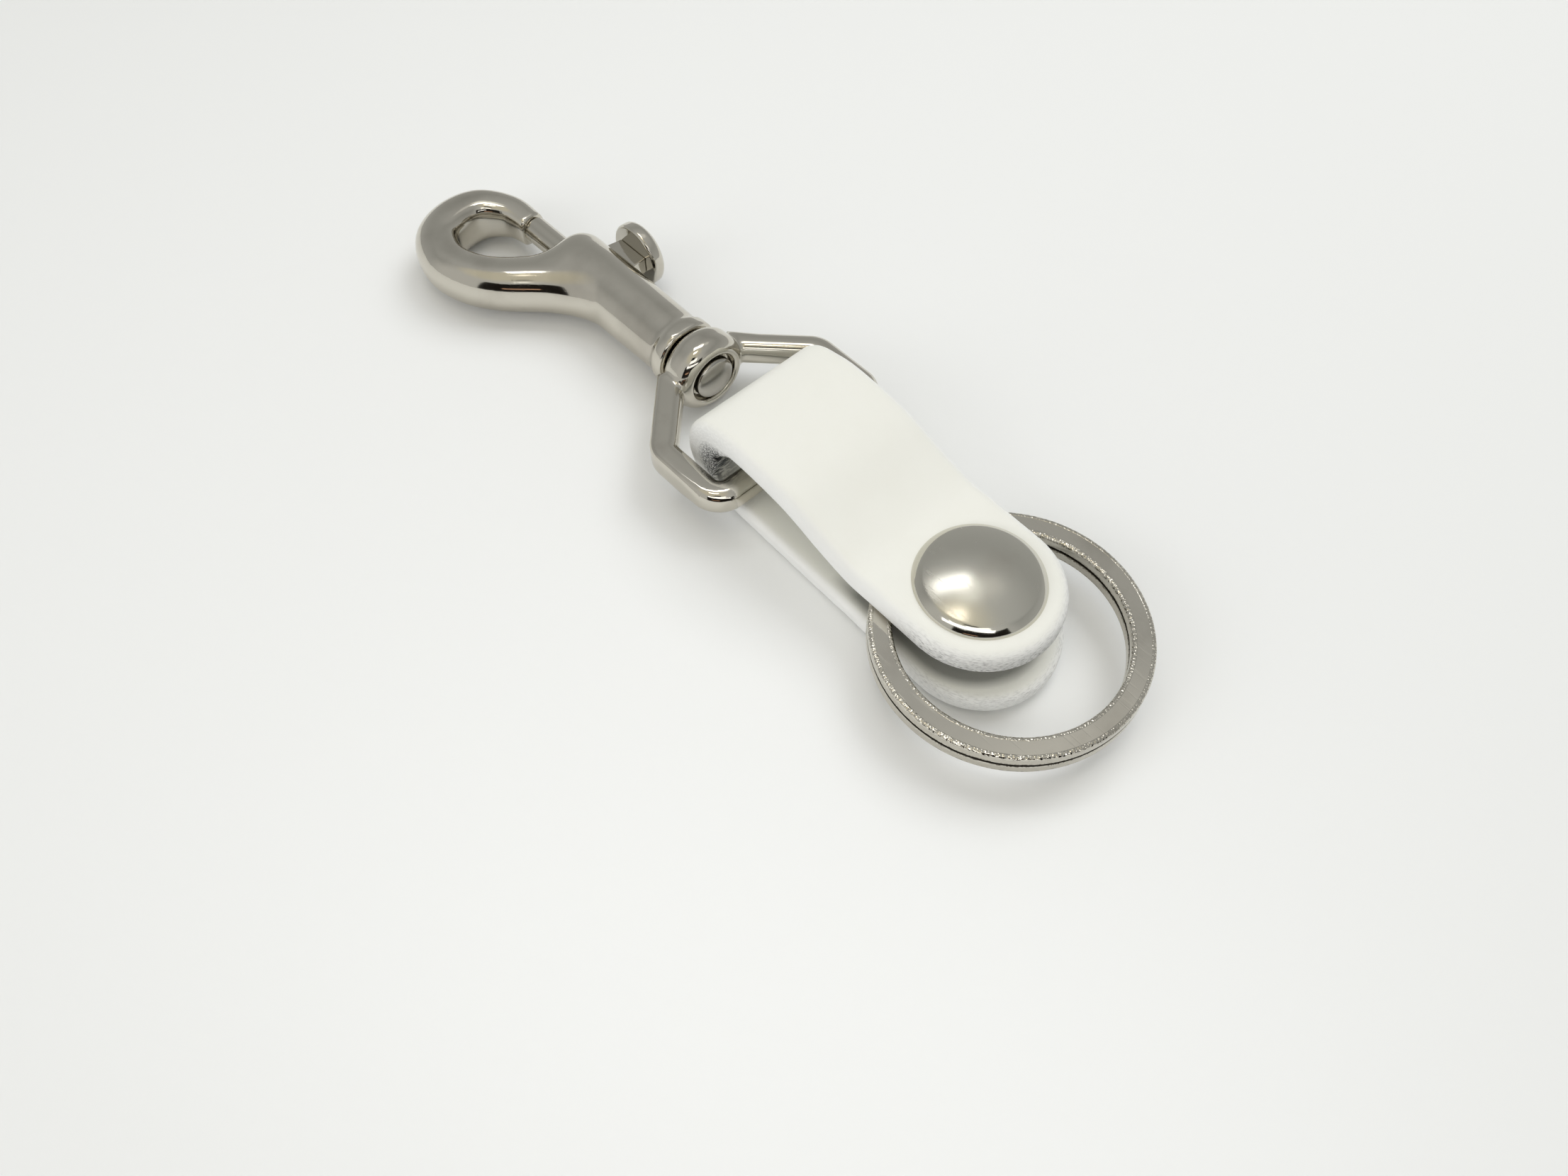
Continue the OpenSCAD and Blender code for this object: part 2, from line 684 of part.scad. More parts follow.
// Bolt spring: one wire wound between the rivet's plug and the bolt's head
spring_d = chamber_d - 2 * face_gap;
spring_rings = 8;
spring_sides = 6;
spring_start = collar_reach + plug_l + seat_clear;
spring_l = bolt_back - spring_start - seat_clear;
spring_mean_r = (spring_d - spring_wire) / 2;
function coil_reach(s) = spring_start + spring_wire / 2 + (spring_l - spring_wire) * s;
function coil_point(s) =
    let(a = 360 * spring_turns * s)
    [coil_reach(s), spring_mean_r * cos(a), spring_mean_r * sin(a)];
coil = [for (i = [0:spring_turns * spring_rings]) coil_point(i / (spring_turns * spring_rings))];
function coil_ring(i) =
    let(d = unit(coil[min(i + 1, len(coil) - 1)] - coil[max(i - 1, 0)]))
    let(u = unit(cross(d, [1, 0, 0])), v = cross(d, u))
    [for (j = [0:spring_sides - 1]) coil[i] + spring_wire / 2 * (cos(360 * j / spring_sides) * u
        + sin(360 * j / spring_sides) * v)];

module bolt_spring() {
    apart = [for (i = [0:len(coil) - 1], j = [i + 5:1:len(coil) - 1]) norm(coil[i] - coil[j])];
    echo(spring_least_gap = min(apart) - spring_wire);
    color(spring_steel)
        in_clip_plane()
            skin([for (i = [0:len(coil) - 1]) coil_ring(i)]);
}

strap_base();
strap_flap();
snap_cap();
snap_cap_post();
snap_socket();
snap_spring();
snap_stud();
snap_post();
split_ring();
swivel_loop();
swivel_rivet();
hook_body();
bolt();
thumb_knob();
bolt_spring();
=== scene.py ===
"""Belt key clip: the finished look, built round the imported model. Sizes are in millimetres and turned into metres
where a mesh is made. Reach counts along the hook's axis, from the loop's crossbar towards the hook's bend."""
import json
import math

import bmesh
import bpy
import numpy as np
from mathutils import Matrix, Quaternion, Vector


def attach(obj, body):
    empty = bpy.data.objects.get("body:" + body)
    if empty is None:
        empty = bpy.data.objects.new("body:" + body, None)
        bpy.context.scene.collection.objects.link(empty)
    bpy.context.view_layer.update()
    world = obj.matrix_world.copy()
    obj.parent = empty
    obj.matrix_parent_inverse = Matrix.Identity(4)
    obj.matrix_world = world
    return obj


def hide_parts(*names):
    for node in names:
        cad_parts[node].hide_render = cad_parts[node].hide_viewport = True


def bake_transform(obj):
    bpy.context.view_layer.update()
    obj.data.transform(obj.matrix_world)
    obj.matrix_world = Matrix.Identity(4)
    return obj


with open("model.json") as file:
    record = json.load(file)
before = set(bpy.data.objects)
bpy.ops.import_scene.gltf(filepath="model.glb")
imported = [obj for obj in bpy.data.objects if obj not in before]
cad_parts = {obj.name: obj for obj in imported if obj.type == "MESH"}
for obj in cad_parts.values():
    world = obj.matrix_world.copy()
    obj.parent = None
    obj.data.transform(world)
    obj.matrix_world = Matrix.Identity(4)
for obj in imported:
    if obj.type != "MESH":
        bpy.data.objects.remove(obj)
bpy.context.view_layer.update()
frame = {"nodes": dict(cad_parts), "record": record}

mm = 0.001

# The table and the light. The clip lies on a white table under a broad soft lamp with a weaker one across from it.
# The nickel mirrors neither: it shows a plain room with a few bright and dark patches, and three small lamps. The
# camera sees that room, and the far table, as one pale ground.
scene = bpy.context.scene
scene.view_settings.view_transform = "Standard"

table_half = 2000 * mm
table_white = (0.93, 0.94, 0.945, 1)
pale_ground = (0.84, 0.845, 0.84, 1)
ground_start = 0.3
ground_full = 0.9


def new_material(name):
    """A material with an empty node tree, its Principled shader and its output."""
    material = bpy.data.materials.new(name)
    material.use_nodes = True
    nodes = material.node_tree.nodes
    nodes.clear()
    output = nodes.new("ShaderNodeOutputMaterial")
    shader = nodes.new("ShaderNodeBsdfPrincipled")
    material.node_tree.links.new(shader.outputs["BSDF"], output.inputs["Surface"])
    return material, nodes, material.node_tree.links, shader


def combined(tree, operation, *values):
    """The result of a maths node of a node tree, on numbers and sockets."""
    node = tree.nodes.new("ShaderNodeMath")
    node.operation = operation
    for socket, value in zip(node.inputs, values):
        if isinstance(value, (int, float)):
            socket.default_value = value
        else:
            tree.links.new(value, socket)
    return node.outputs["Value"]


def mesh_object(name, points, faces):
    """An object from points in metres and faces."""
    mesh = bpy.data.meshes.new(name)
    mesh.from_pydata([tuple(p) for p in points], [], [tuple(f) for f in faces])
    mesh.polygons.foreach_set("use_smooth", [True] * len(mesh.polygons))
    mesh.update()
    piece = bpy.data.objects.new(name, mesh)
    scene.collection.objects.link(piece)
    return piece


table = mesh_object(
    "table", [(-table_half, -table_half, 0), (table_half, -table_half, 0), (table_half, table_half, 0),
              (-table_half, table_half, 0)], [(0, 1, 2, 3)])
table_paint, _, _, table_shader = new_material("table_white")
table_shader.inputs["Base Color"].default_value = table_white
table_shader.inputs["Roughness"].default_value = 0.6
table.data.materials.append(table_paint)
paint, paint_links = table_paint.node_tree.nodes, table_paint.node_tree.links
table_place = paint.new("ShaderNodeNewGeometry")
table_reach = paint.new("ShaderNodeVectorMath")
table_reach.operation = "LENGTH"
paint_links.new(table_place.outputs["Position"], table_reach.inputs[0])
table_far = paint.new("ShaderNodeMapRange")
table_far.inputs["From Min"].default_value = ground_start
table_far.inputs["From Max"].default_value = ground_full
paint_links.new(table_reach.outputs["Value"], table_far.inputs["Value"])
table_seen = combined(table_paint.node_tree, "MULTIPLY", table_far.outputs["Result"],
                      paint.new("ShaderNodeLightPath").outputs["Is Camera Ray"])
table_glow = paint.new("ShaderNodeEmission")
table_glow.inputs["Color"].default_value = pale_ground
table_mix = paint.new("ShaderNodeMixShader")
paint_links.new(table_seen, table_mix.inputs["Fac"])
paint_links.new(table_shader.outputs["BSDF"], table_mix.inputs[1])
paint_links.new(table_glow.outputs["Emission"], table_mix.inputs[2])
paint_links.new(table_mix.outputs["Shader"], next(n for n in paint if n.type == "OUTPUT_MATERIAL").inputs["Surface"])

world = bpy.data.worlds.new("room")
scene.world = world
world.use_nodes = True
room = world.node_tree.nodes
room.clear()
room_links = world.node_tree.links
room_out = room.new("ShaderNodeOutputWorld")
room_light = room.new("ShaderNodeBackground")
room_place = room.new("ShaderNodeTexCoord")
room_split = room.new("ShaderNodeSeparateXYZ")
room_ramp = room.new("ShaderNodeValToRGB")
room_links.new(room_place.outputs["Generated"], room_split.inputs["Vector"])
room_links.new(room_split.outputs["Z"], room_ramp.inputs["Fac"])
room_links.new(room_light.outputs["Background"], room_out.inputs["Surface"])
ramp = room_ramp.color_ramp
ramp.elements[0].position = 0.0
ramp.elements[0].color = (0.46, 0.465, 0.455, 1)
ramp.elements[1].position = 0.9
ramp.elements[1].color = (0.5, 0.505, 0.495, 1)
ramp.elements.new(0.6).color = (0.37, 0.375, 0.365, 1)


def room_share(value, low, high):
    """A smooth share from 0 to 1 as a value goes from low to high."""
    share = room.new("ShaderNodeMapRange")
    share.interpolation_type = "SMOOTHSTEP"
    share.inputs["From Min"].default_value = low
    share.inputs["From Max"].default_value = high
    room_links.new(value, share.inputs["Value"])
    return share.outputs["Result"]


def room_mix(below, share, colour):
    """A colour laid over the room where its share is 1."""
    mix = room.new("ShaderNodeMix")
    mix.data_type = "RGBA"
    mix.inputs["B"].default_value = colour
    room_links.new(share, mix.inputs["Factor"])
    room_links.new(below, mix.inputs["A"])
    return mix.outputs["Result"]


def room_dot(way, toward):
    """How nearly a direction points the same way as another."""
    facing = room.new("ShaderNodeVectorMath")
    facing.operation = "DOT_PRODUCT"
    facing.inputs[1].default_value = Vector(toward).normalized()
    room_links.new(way, facing.inputs[0])
    return facing.outputs["Value"]


def room_patch(below, toward, width, softness, colour):
    """A round patch of the room, from its direction, its half width and soft edge in degrees, and its colour."""
    near = room_dot(room_place.outputs["Generated"], toward)
    share = room_share(near, math.cos(math.radians(width + softness)), math.cos(math.radians(width)))
    return room_mix(below, share, colour)


def room_window(below, toward, half_width, low, high, softness, colour):
    """A patch of the room with level and upright edges, from its direction on the floor, its half width and the
    heights of its edges, all in degrees, and its colour."""
    level = room.new("ShaderNodeVectorMath")
    level.operation = "MULTIPLY"
    level.inputs[1].default_value = (1, 1, 0)
    room_links.new(room_place.outputs["Generated"], level.inputs[0])
    unit = room.new("ShaderNodeVectorMath")
    unit.operation = "NORMALIZE"
    room_links.new(level.outputs["Vector"], unit.inputs[0])
    side = math.radians(toward)
    near = room_dot(unit.outputs["Vector"], (math.cos(side), math.sin(side), 0))
    share = room_share(near, math.cos(math.radians(half_width + softness)), math.cos(math.radians(half_width)))
    for height, way in ((low, -1), (high, 1)):
        edge = room_share(room_split.outputs["Z"], math.sin(math.radians(height + way * softness)),
                          math.sin(math.radians(height)))
        share = combined(world.node_tree, "MULTIPLY", share, edge)
    return room_mix(below, share, colour)


# A light wall on the near side, a warm glow and two bright spots overhead
room_patches = [
    ((0.45, -0.85, 0.2), 50, 30, (0.58, 0.58, 0.56, 1)), ((0.05, -0.35, 0.93), 12, 22, (0.66, 0.63, 0.52, 1)),
    ((-0.2, 0.16, 0.965), 4, 10, (1.12, 1.12, 1.06, 1)), ((-0.06, 0.4, 0.91), 3, 8, (0.75, 0.75, 0.72, 1)),
]
# A lit window, a wide dark patch below it, a narrower one between them, a warm glint and a dark beam above
room_windows = [
    (-42, 19, 41, 51, 2, (1.9, 1.87, 1.78, 1)), (-39, 39, 2, 33, 1.5, (0.014, 0.012, 0.01, 1)),
    (-45, 14, 27, 39, 1, (0.014, 0.012, 0.01, 1)), (-53, 9, 12, 14, 1, (0.75, 0.45, 0.3, 1)),
    (-53, 13, 51, 60, 1.5, (0.02, 0.02, 0.02, 1)),
]
room_colour = room_ramp.outputs["Color"]
for patch in room_patches:
    room_colour = room_patch(room_colour, *patch)
for window in room_windows:
    room_colour = room_window(room_colour, *window)
room_seen = room_mix(room_colour, room.new("ShaderNodeLightPath").outputs["Is Camera Ray"], pale_ground)
room_links.new(room_seen, room_light.inputs["Color"])
room_light.inputs["Strength"].default_value = 1.0


def soft_lamp(name, place, aim, size, power, colour=(1, 1, 1), mirrored=True, turn=0):
    """A lamp of a given width and height, at a place in millimetres, facing its aim and turned on that line."""
    light = bpy.data.lights.new(name, "AREA")
    light.shape = "RECTANGLE"
    light.size, light.size_y = size[0] * mm, size[1] * mm
    light.energy = power
    light.color = colour
    lamp = bpy.data.objects.new(name, light)
    scene.collection.objects.link(lamp)
    lamp.location = Vector(place) * mm
    facing = (Vector(aim) - Vector(place)).to_track_quat("-Z", "Y")
    lamp.rotation_euler = (facing @ Quaternion((0, 0, 1), math.radians(turn))).to_euler()
    lamp.visible_glossy = mirrored
    lamp.visible_camera = False
    return lamp


soft_lamp("key_lamp", (-60, 380, 520), (-30, 0, 0), (360, 360), 1.4, (0.99, 1, 1), mirrored=False)
soft_lamp("fill_lamp", (-120, -420, 200), (-30, 0, 0), (300, 300), 0.39, mirrored=False)
soft_lamp("strip_lamp", (-102, 13, 223), (0, 0, 13), (44, 116), 0.042, turn=61)
soft_lamp("near_card", (34, -57, 62), (2, -6, 10), (110, 12), 0.0078)
soft_lamp("ceiling_lamp", (-45, -147, 633), (0, 0, 13), (90, 150), 0.13, (1, 0.9, 0.76), turn=-27)

# The camera stands where the photograph was taken: 129 mm above the table, on the key ring's side of the clip.
photo_width = 2212
focal_pixels = 1855
sensor_width = 36
camera_place = Vector((40.8, -69.6, 128.6)) * mm
camera_turn = math.radians(-45.55)
camera_dip = math.radians(57.42)
camera_roll = math.radians(2.32)
ahead = Vector((math.sin(camera_turn) * math.cos(camera_dip), math.cos(camera_turn) * math.cos(camera_dip),
                -math.sin(camera_dip)))
level_right = Vector((math.cos(camera_turn), -math.sin(camera_turn), 0))
level_up = level_right.cross(ahead)
right = math.cos(camera_roll) * level_right + math.sin(camera_roll) * level_up
up = right.cross(ahead)
lens = bpy.data.cameras.new("photo_camera")
lens.sensor_width = sensor_width
lens.lens = sensor_width * focal_pixels / photo_width
lens.clip_start = 5 * mm
camera = bpy.data.objects.new("photo_camera", lens)
scene.collection.objects.link(camera)
camera.matrix_world = Matrix.Translation(camera_place) @ Matrix((right, up, -ahead)).transposed().to_4x4()
scene.camera = camera

# Hook body. One zinc casting, tumbled smooth and nickel plated: a round barrel that houses the bolt, a web,
# and a shank that bends round the eye to a nose in front of the bolt. It turns on the swivel rivet.
joints = {joint["name"]: joint for joint in frame["record"]["behaviour"]["joints"]}
bar_middle = np.array(joints["loop_swing"]["pos_m"]) / mm
reach_way = np.array(joints["swivel_spin"]["axis"])
side_way = np.array([0, 1, 0])
clip_up = np.cross(side_way, reach_way)

collar_reach = 20.1
barrel_l = 24.7
mouth_reach = collar_reach + barrel_l
barrel_d = 8.4
mouth_d = 8.8
collar_d = 9.3
collar_l = 1.6
bend_reach = 15.6
bend_drop = 13.05
shank_w = 6.2
shank_t = 6.8
chamber_d = 4.9
bolt_d = 3.5
run_clear = 0.08
neck_w = 2.4
face_gap = 0.3
neck_start = 36.2
neck_end = 42.4
bolt_travel = 5.6
front_wall = 1.6
web_start = 34
web_end = 41
web_fillets = (0.2, 2.4)
# Shares of the way to the bend, of the drop, and of the shank's half width and half thickness
shank_shares = [
    (-0.757, 0, 1.25, 1.1), (-0.465, 0.13, 1.2, 1.1), (-0.19, 0.39, 1.04, 1.05), (0.09, 0.75, 0.94, 1),
    (0.334, 0.94, 0.91, 1), (0.607, 1, 0.93, 1), (0.885, 0.87, 0.95, 1), (1, 0.58, 0.95, 1),
    (0.965, 0.27, 0.88, 0.94), (0.75, 0.057, 0.75, 0.8), (0.485, 0.012, 0.63, 0.64),
]


def curve_through(rows, steps):
    """A smooth curve through rows of numbers, with a few steps from each row to the next."""
    rows = np.array(rows, float)
    rows = np.vstack([2 * rows[0] - rows[1], rows, 2 * rows[-1] - rows[-2]])
    out = []
    for a, b, c, d in zip(rows, rows[1:], rows[2:], rows[3:]):
        for t in np.arange(steps) / steps:
            square, cube = (2 * a - 5 * b + 4 * c - d) * t**2, (3 * b - a - 3 * c + d) * t**3
            out.append((2 * b + (c - a) * t + square + cube) / 2)
    return np.array(out + [rows[-2]])


def to_row(points):
    """Points given as reach, side and height in the plane of the clip, in metres in the row frame."""
    return (bar_middle + points[:, :1] * reach_way + points[:, 1:2] * side_way + points[:, 2:] * clip_up) * mm


def melt(a, b, width):
    """The union of two forms, with a fillet where they meet."""
    share = np.clip(0.5 + 0.5 * (b - a) / width, 0, 1)
    return b + (a - b) * share - width * share * (1 - share)


def trim(a, b, width):
    """The part of one form that lies inside another, with a rounded edge."""
    return -melt(-a, -b, width)


def rounded(a, b, radius):
    """The part that two forms share, with an edge rounded to a radius."""
    a, b = a + radius, b + radius
    return np.hypot(np.maximum(a, 0), np.maximum(b, 0)) + np.minimum(np.maximum(a, b), 0) - radius


def beside(x, y, line):
    """How far points lie to the side of a flat line and past its ends, and the line's other columns there."""
    x, y = np.broadcast_arrays(x, y)
    nearest = np.full(x.shape, np.inf)
    side = np.zeros(x.shape)
    past = np.zeros(x.shape)
    rest = np.zeros(x.shape + (line.shape[1] - 2,))
    final = len(line) - 2
    for number, (start, end) in enumerate(zip(line, line[1:])):
        along = end[:2] - start[:2]
        length = np.hypot(*along)
        along = along / length
        u = (x - start[0]) * along[0] + (y - start[1]) * along[1]
        v = (y - start[1]) * along[0] - (x - start[0]) * along[1]
        inside = np.clip(u, 0, length)
        away = np.hypot(u - inside, v)
        closer = away < nearest
        nearest = np.where(closer, away, nearest)
        side = np.where(closer, v, side)
        beyond = -u if number == 0 else (u - length if number == final else -length + 0 * u)
        past = np.where(closer, beyond, past)
        share = (inside / length)[..., None]
        rest = np.where(closer[..., None], start[2:] * (1 - share) + end[2:] * share, rest)
    return side, past, rest


def cast(name, form, low, high, step, place=to_row, mirrored=True):
    """A smooth solid from a form, which is a function of place that is negative inside. The surface is found on a
    grid of points a step apart, moved onto the form, and takes its normals from it."""
    axes = [np.arange(a - 2 * step, b + 3 * step, step) for a, b in zip(low, high)]
    inside = form(axes[0][:, None, None], axes[1][None, :, None], axes[2][None, None, :]) < 0
    count = sum(inside[i:inside.shape[0] - 1 + i, j:inside.shape[1] - 1 + j, k:inside.shape[2] - 1 + k].astype(int)
                for i in (0, 1) for j in (0, 1) for k in (0, 1))
    cells = np.argwhere((count > 0) & (count < 8))
    number = -np.ones(count.shape, int)
    number[tuple(cells.T)] = np.arange(len(cells))
    points = np.array([axis[0] for axis in axes]) + (cells + 0.5) * step
    quads = []
    for axis in range(3):
        ahead_axis, other_axis = (axis + 1) % 3, (axis + 2) % 3
        turned = np.moveaxis(inside, (axis, ahead_axis, other_axis), (0, 1, 2))
        named = np.moveaxis(number, (axis, ahead_axis, other_axis), (0, 1, 2))
        first, second = turned[:-1, 1:-1, 1:-1], turned[1:, 1:-1, 1:-1]
        for change, order in ((first & ~second, (0, 1, 2, 3)), (~first & second, (3, 2, 1, 0))):
            i, j, k = np.nonzero(change)
            ring = np.stack([named[i, j, k], named[i, j + 1, k], named[i, j + 1, k + 1], named[i, j, k + 1]], 1)
            quads.append(ring[:, order])
    quads = np.concatenate(quads)
    reach = 0.02 * step

    def slope(p):
        shifts = [np.array(row) for row in np.eye(3) * reach]
        return np.stack([(form(*(p + s).T) - form(*(p - s).T)) / (2 * reach) for s in shifts], 1)

    edges = np.concatenate([quads[:, [a, (a + 1) % 4]] for a in range(4)])
    degree = np.bincount(edges[:, 0], minlength=len(points))[:, None]
    for turn in range(7):
        grade = slope(points)
        move = form(*points.T)[:, None] * grade / np.maximum((grade**2).sum(1, keepdims=True), 1e-9)
        length = np.linalg.norm(move, axis=1, keepdims=True)
        points = points - move * np.minimum(1, step / np.maximum(length, 1e-9))
        if 1 < turn < 5:
            around = np.zeros_like(points)
            np.add.at(around, edges[:, 0], points[edges[:, 1]])
            points = 0.5 * points + 0.5 * around / degree
    grade = slope(points)
    grade = grade / np.maximum(np.linalg.norm(grade, axis=1, keepdims=True), 1e-9)
    for turn in range(5):
        around = np.zeros_like(points)
        np.add.at(around, edges[:, 0], grade[edges[:, 1]])
        around = around / np.maximum(np.linalg.norm(around, axis=1, keepdims=True), 1e-9)
        stray = (grade * around).sum(1, keepdims=True) < 0.985
        grade = around if turn > 1 else np.where(stray, around, grade)
    ends = place(points + 0.01 * grade)
    drawn = points
    points = place(points)
    normals = ends - points
    normals = normals / np.linalg.norm(normals, axis=1, keepdims=True)
    piece = mesh_object(name, points, quads[:, ::-1] if mirrored else quads)
    piece.data.normals_split_custom_set_from_vertices([tuple(n) for n in normals])
    return piece, drawn


shank_line = curve_through([(mouth_reach + bend_reach * a, -bend_drop * b, shank_w / 2 * c, shank_t / 2 * d)
                            for a, b, c, d in shank_shares], 8)
outer_power = 2.1
inner_power = 3.4


def hook_form(x, y, z):
    """Barrel, shank and web, with the slot, the chamber and the bolt's hole cut in."""
    out = np.hypot(y, z)
    radius = np.interp(x, collar_reach + np.array([0, collar_l, collar_l + 0.9, 0.62 * barrel_l, barrel_l]),
                       np.array([collar_d, collar_d, barrel_d, mouth_d, mouth_d]) / 2)
    barrel = trim(out - radius, collar_reach - x, 0.5)
    barrel = trim(barrel, x - mouth_reach, 2.6)
    side, past, size = beside(x, y, shank_line)
    inner_side = 1 / (1 + np.exp(-side / 0.4))
    power = outer_power + (inner_power - outer_power) * inner_side
    section = ((np.abs(side) / size[..., 0])**power + np.abs(z / size[..., 1])**power)**(1 / power) - 1
    shank = trim(section * size[..., 1], past, 0.3)
    fillet = np.interp(x, (web_start, web_end), web_fillets)
    body = trim(melt(barrel, shank, fillet), np.abs(z) - mouth_d / 2, 0.25)
    slot_w = neck_w + 2 * face_gap
    slot_round = math.sqrt((slot_w / 2)**2 - (neck_w / 2)**2)
    slot_start = neck_start - bolt_travel - face_gap + slot_round
    slot_end = neck_end + face_gap - slot_round
    slot = np.hypot(x - np.clip(x, slot_start, slot_end), z) - slot_w / 2
    body = trim(body, -np.maximum(slot, -y), 0.2)
    chamber = np.maximum(out - chamber_d / 2, x - (mouth_reach - front_wall))
    hole = np.maximum(out - bolt_d / 2 - run_clear, x - mouth_reach - 3)
    return np.maximum(body, -np.minimum(chamber, hole))


def plating_group():
    """How plated metal differs from place to place: soft clouds in its gloss, fine scratches of use, and a mask of
    where the plating is thin and darker."""
    group = bpy.data.node_groups.new("worn_plating", "ShaderNodeTree")
    face = group.interface
    for label, value in (("Gloss", 0.09), ("Cloud", 0.03), ("Scratches", 0.3)):
        face.new_socket(name=label, in_out="INPUT", socket_type="NodeSocketFloat").default_value = value
    face.new_socket(name="Roughness", in_out="OUTPUT", socket_type="NodeSocketFloat")
    face.new_socket(name="Thin", in_out="OUTPUT", socket_type="NodeSocketFloat")
    face.new_socket(name="Normal", in_out="OUTPUT", socket_type="NodeSocketVector")
    nodes, links = group.nodes, group.links
    given = nodes.new("NodeGroupInput")
    result = nodes.new("NodeGroupOutput")
    place = nodes.new("ShaderNodeTexCoord")

    def noise(scale, detail, stretch):
        laid = nodes.new("ShaderNodeMapping")
        laid.inputs["Scale"].default_value = stretch
        laid.inputs["Rotation"].default_value = (0.5, 0.3, 0.8)
        links.new(place.outputs["Object"], laid.inputs["Vector"])
        texture = nodes.new("ShaderNodeTexNoise")
        texture.inputs["Scale"].default_value = scale
        texture.inputs["Detail"].default_value = detail
        links.new(laid.outputs["Vector"], texture.inputs["Vector"])
        return texture.outputs["Fac"]

    clouds = noise(260, 3, (1, 1, 1))
    scratches = noise(900, 2, (0.12, 2.2, 2.2))
    line = nodes.new("ShaderNodeMapRange")
    line.inputs["From Min"].default_value = 0.6
    line.inputs["From Max"].default_value = 0.68
    links.new(scratches, line.inputs["Value"])
    cloud_height = combined(group, "MULTIPLY", given.outputs["Cloud"], 4)
    spread = combined(group, "MULTIPLY", combined(group, "SUBTRACT", clouds, 0.5), cloud_height)
    scratched = combined(group, "MULTIPLY", line.outputs["Result"], given.outputs["Scratches"])
    worn = combined(group, "ADD", combined(group, "MULTIPLY_ADD", scratched, 0.12, spread), given.outputs["Gloss"])
    links.new(combined(group, "MAXIMUM", worn, 0.03), result.inputs["Roughness"])
    thin = nodes.new("ShaderNodeMapRange")
    thin.inputs["From Min"].default_value = 0.5
    thin.inputs["From Max"].default_value = 0.72
    links.new(noise(120, 5, (1, 1, 1)), thin.inputs["Value"])
    links.new(thin.outputs["Result"], result.inputs["Thin"])
    bump = nodes.new("ShaderNodeBump")
    bump.inputs["Distance"].default_value = 0.000004
    links.new(given.outputs["Scratches"], bump.inputs["Strength"])
    links.new(combined(group, "SUBTRACT", clouds, line.outputs["Result"]), bump.inputs["Height"])
    links.new(bump.outputs["Normal"], result.inputs["Normal"])
    return group


worn_plating = plating_group()


def nickel(name, colour=(0.63, 0.6, 0.53, 1), dark=(0.52, 0.49, 0.43, 1), gloss=0.09, cloud=0.03, scratches=0.3):
    """Bright nickel plate, its gloss and colour a little uneven, as plating over a tumbled casting is."""
    material, nodes, links, shader = new_material(name)
    plating = nodes.new("ShaderNodeGroup")
    plating.node_tree = worn_plating
    for label, value in (("Gloss", gloss), ("Cloud", cloud), ("Scratches", scratches)):
        plating.inputs[label].default_value = value
    links.new(plating.outputs["Roughness"], shader.inputs["Roughness"])
    links.new(plating.outputs["Normal"], shader.inputs["Normal"])
    tone = nodes.new("ShaderNodeMix")
    tone.data_type = "RGBA"
    tone.inputs["A"].default_value = colour
    tone.inputs["B"].default_value = dark
    links.new(plating.outputs["Thin"], tone.inputs["Factor"])
    links.new(tone.outputs["Result"], shader.inputs["Base Color"])
    shader.inputs["Metallic"].default_value = 1
    return material


hook_nickel = nickel("hook_nickel")


def finish_piece(piece, material, body, slot_name, *nodes):
    """Gives a piece its material and body, and hides the CAD nodes that it stands for. Its slot name is not used."""
    piece.data.materials.clear()
    piece.data.materials.append(material)
    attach(piece, body)
    if nodes:
        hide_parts(*nodes)
    return piece


hook, _ = cast("hook_casting", hook_form, (20.5, -17.5, -5), (64.5, 5.5, 5), 0.24)
finish_piece(hook, hook_nickel, "hook", "polished_nickel", "hook_body")

# Bolt. A turned steel rod with a thicker head that slides in the barrel. The thumb knob draws it back against
# a wound spring, which stays the CAD piece, since the barrel hides it.
bolt_back = 35
bolt_front = 42.9
bolt_tip = 52.25
bolt_head_d = chamber_d - 2 * run_clear
spigot_l = 1.6
spigot_d = 2.2


def along_reach(points):
    """Points drawn round Z, with Z laid along the reach."""
    return to_row(np.stack([points[:, 2], points[:, 0], -points[:, 1]], 1))


def upright(points):
    """Points drawn round Z on the axis of the press snap, in metres."""
    return points * mm


def soften(piece, width, turn=30, segments=3):
    """Rounds the edges of a piece and keeps its flat faces flat in the light."""
    edge = piece.modifiers.new("rounded_edges", "BEVEL")
    edge.width = width * mm
    edge.segments = segments
    edge.limit_method = "ANGLE"
    edge.angle_limit = math.radians(turn)
    piece.modifiers.new("flat_faces", "WEIGHTED_NORMAL").keep_sharp = False


def face_outwards(piece):
    """Turns every face of a closed piece outwards."""
    shape = bmesh.new()
    shape.from_mesh(piece.data)
    bmesh.ops.recalc_face_normals(shape, faces=shape.faces)
    shape.to_mesh(piece.data)
    shape.free()


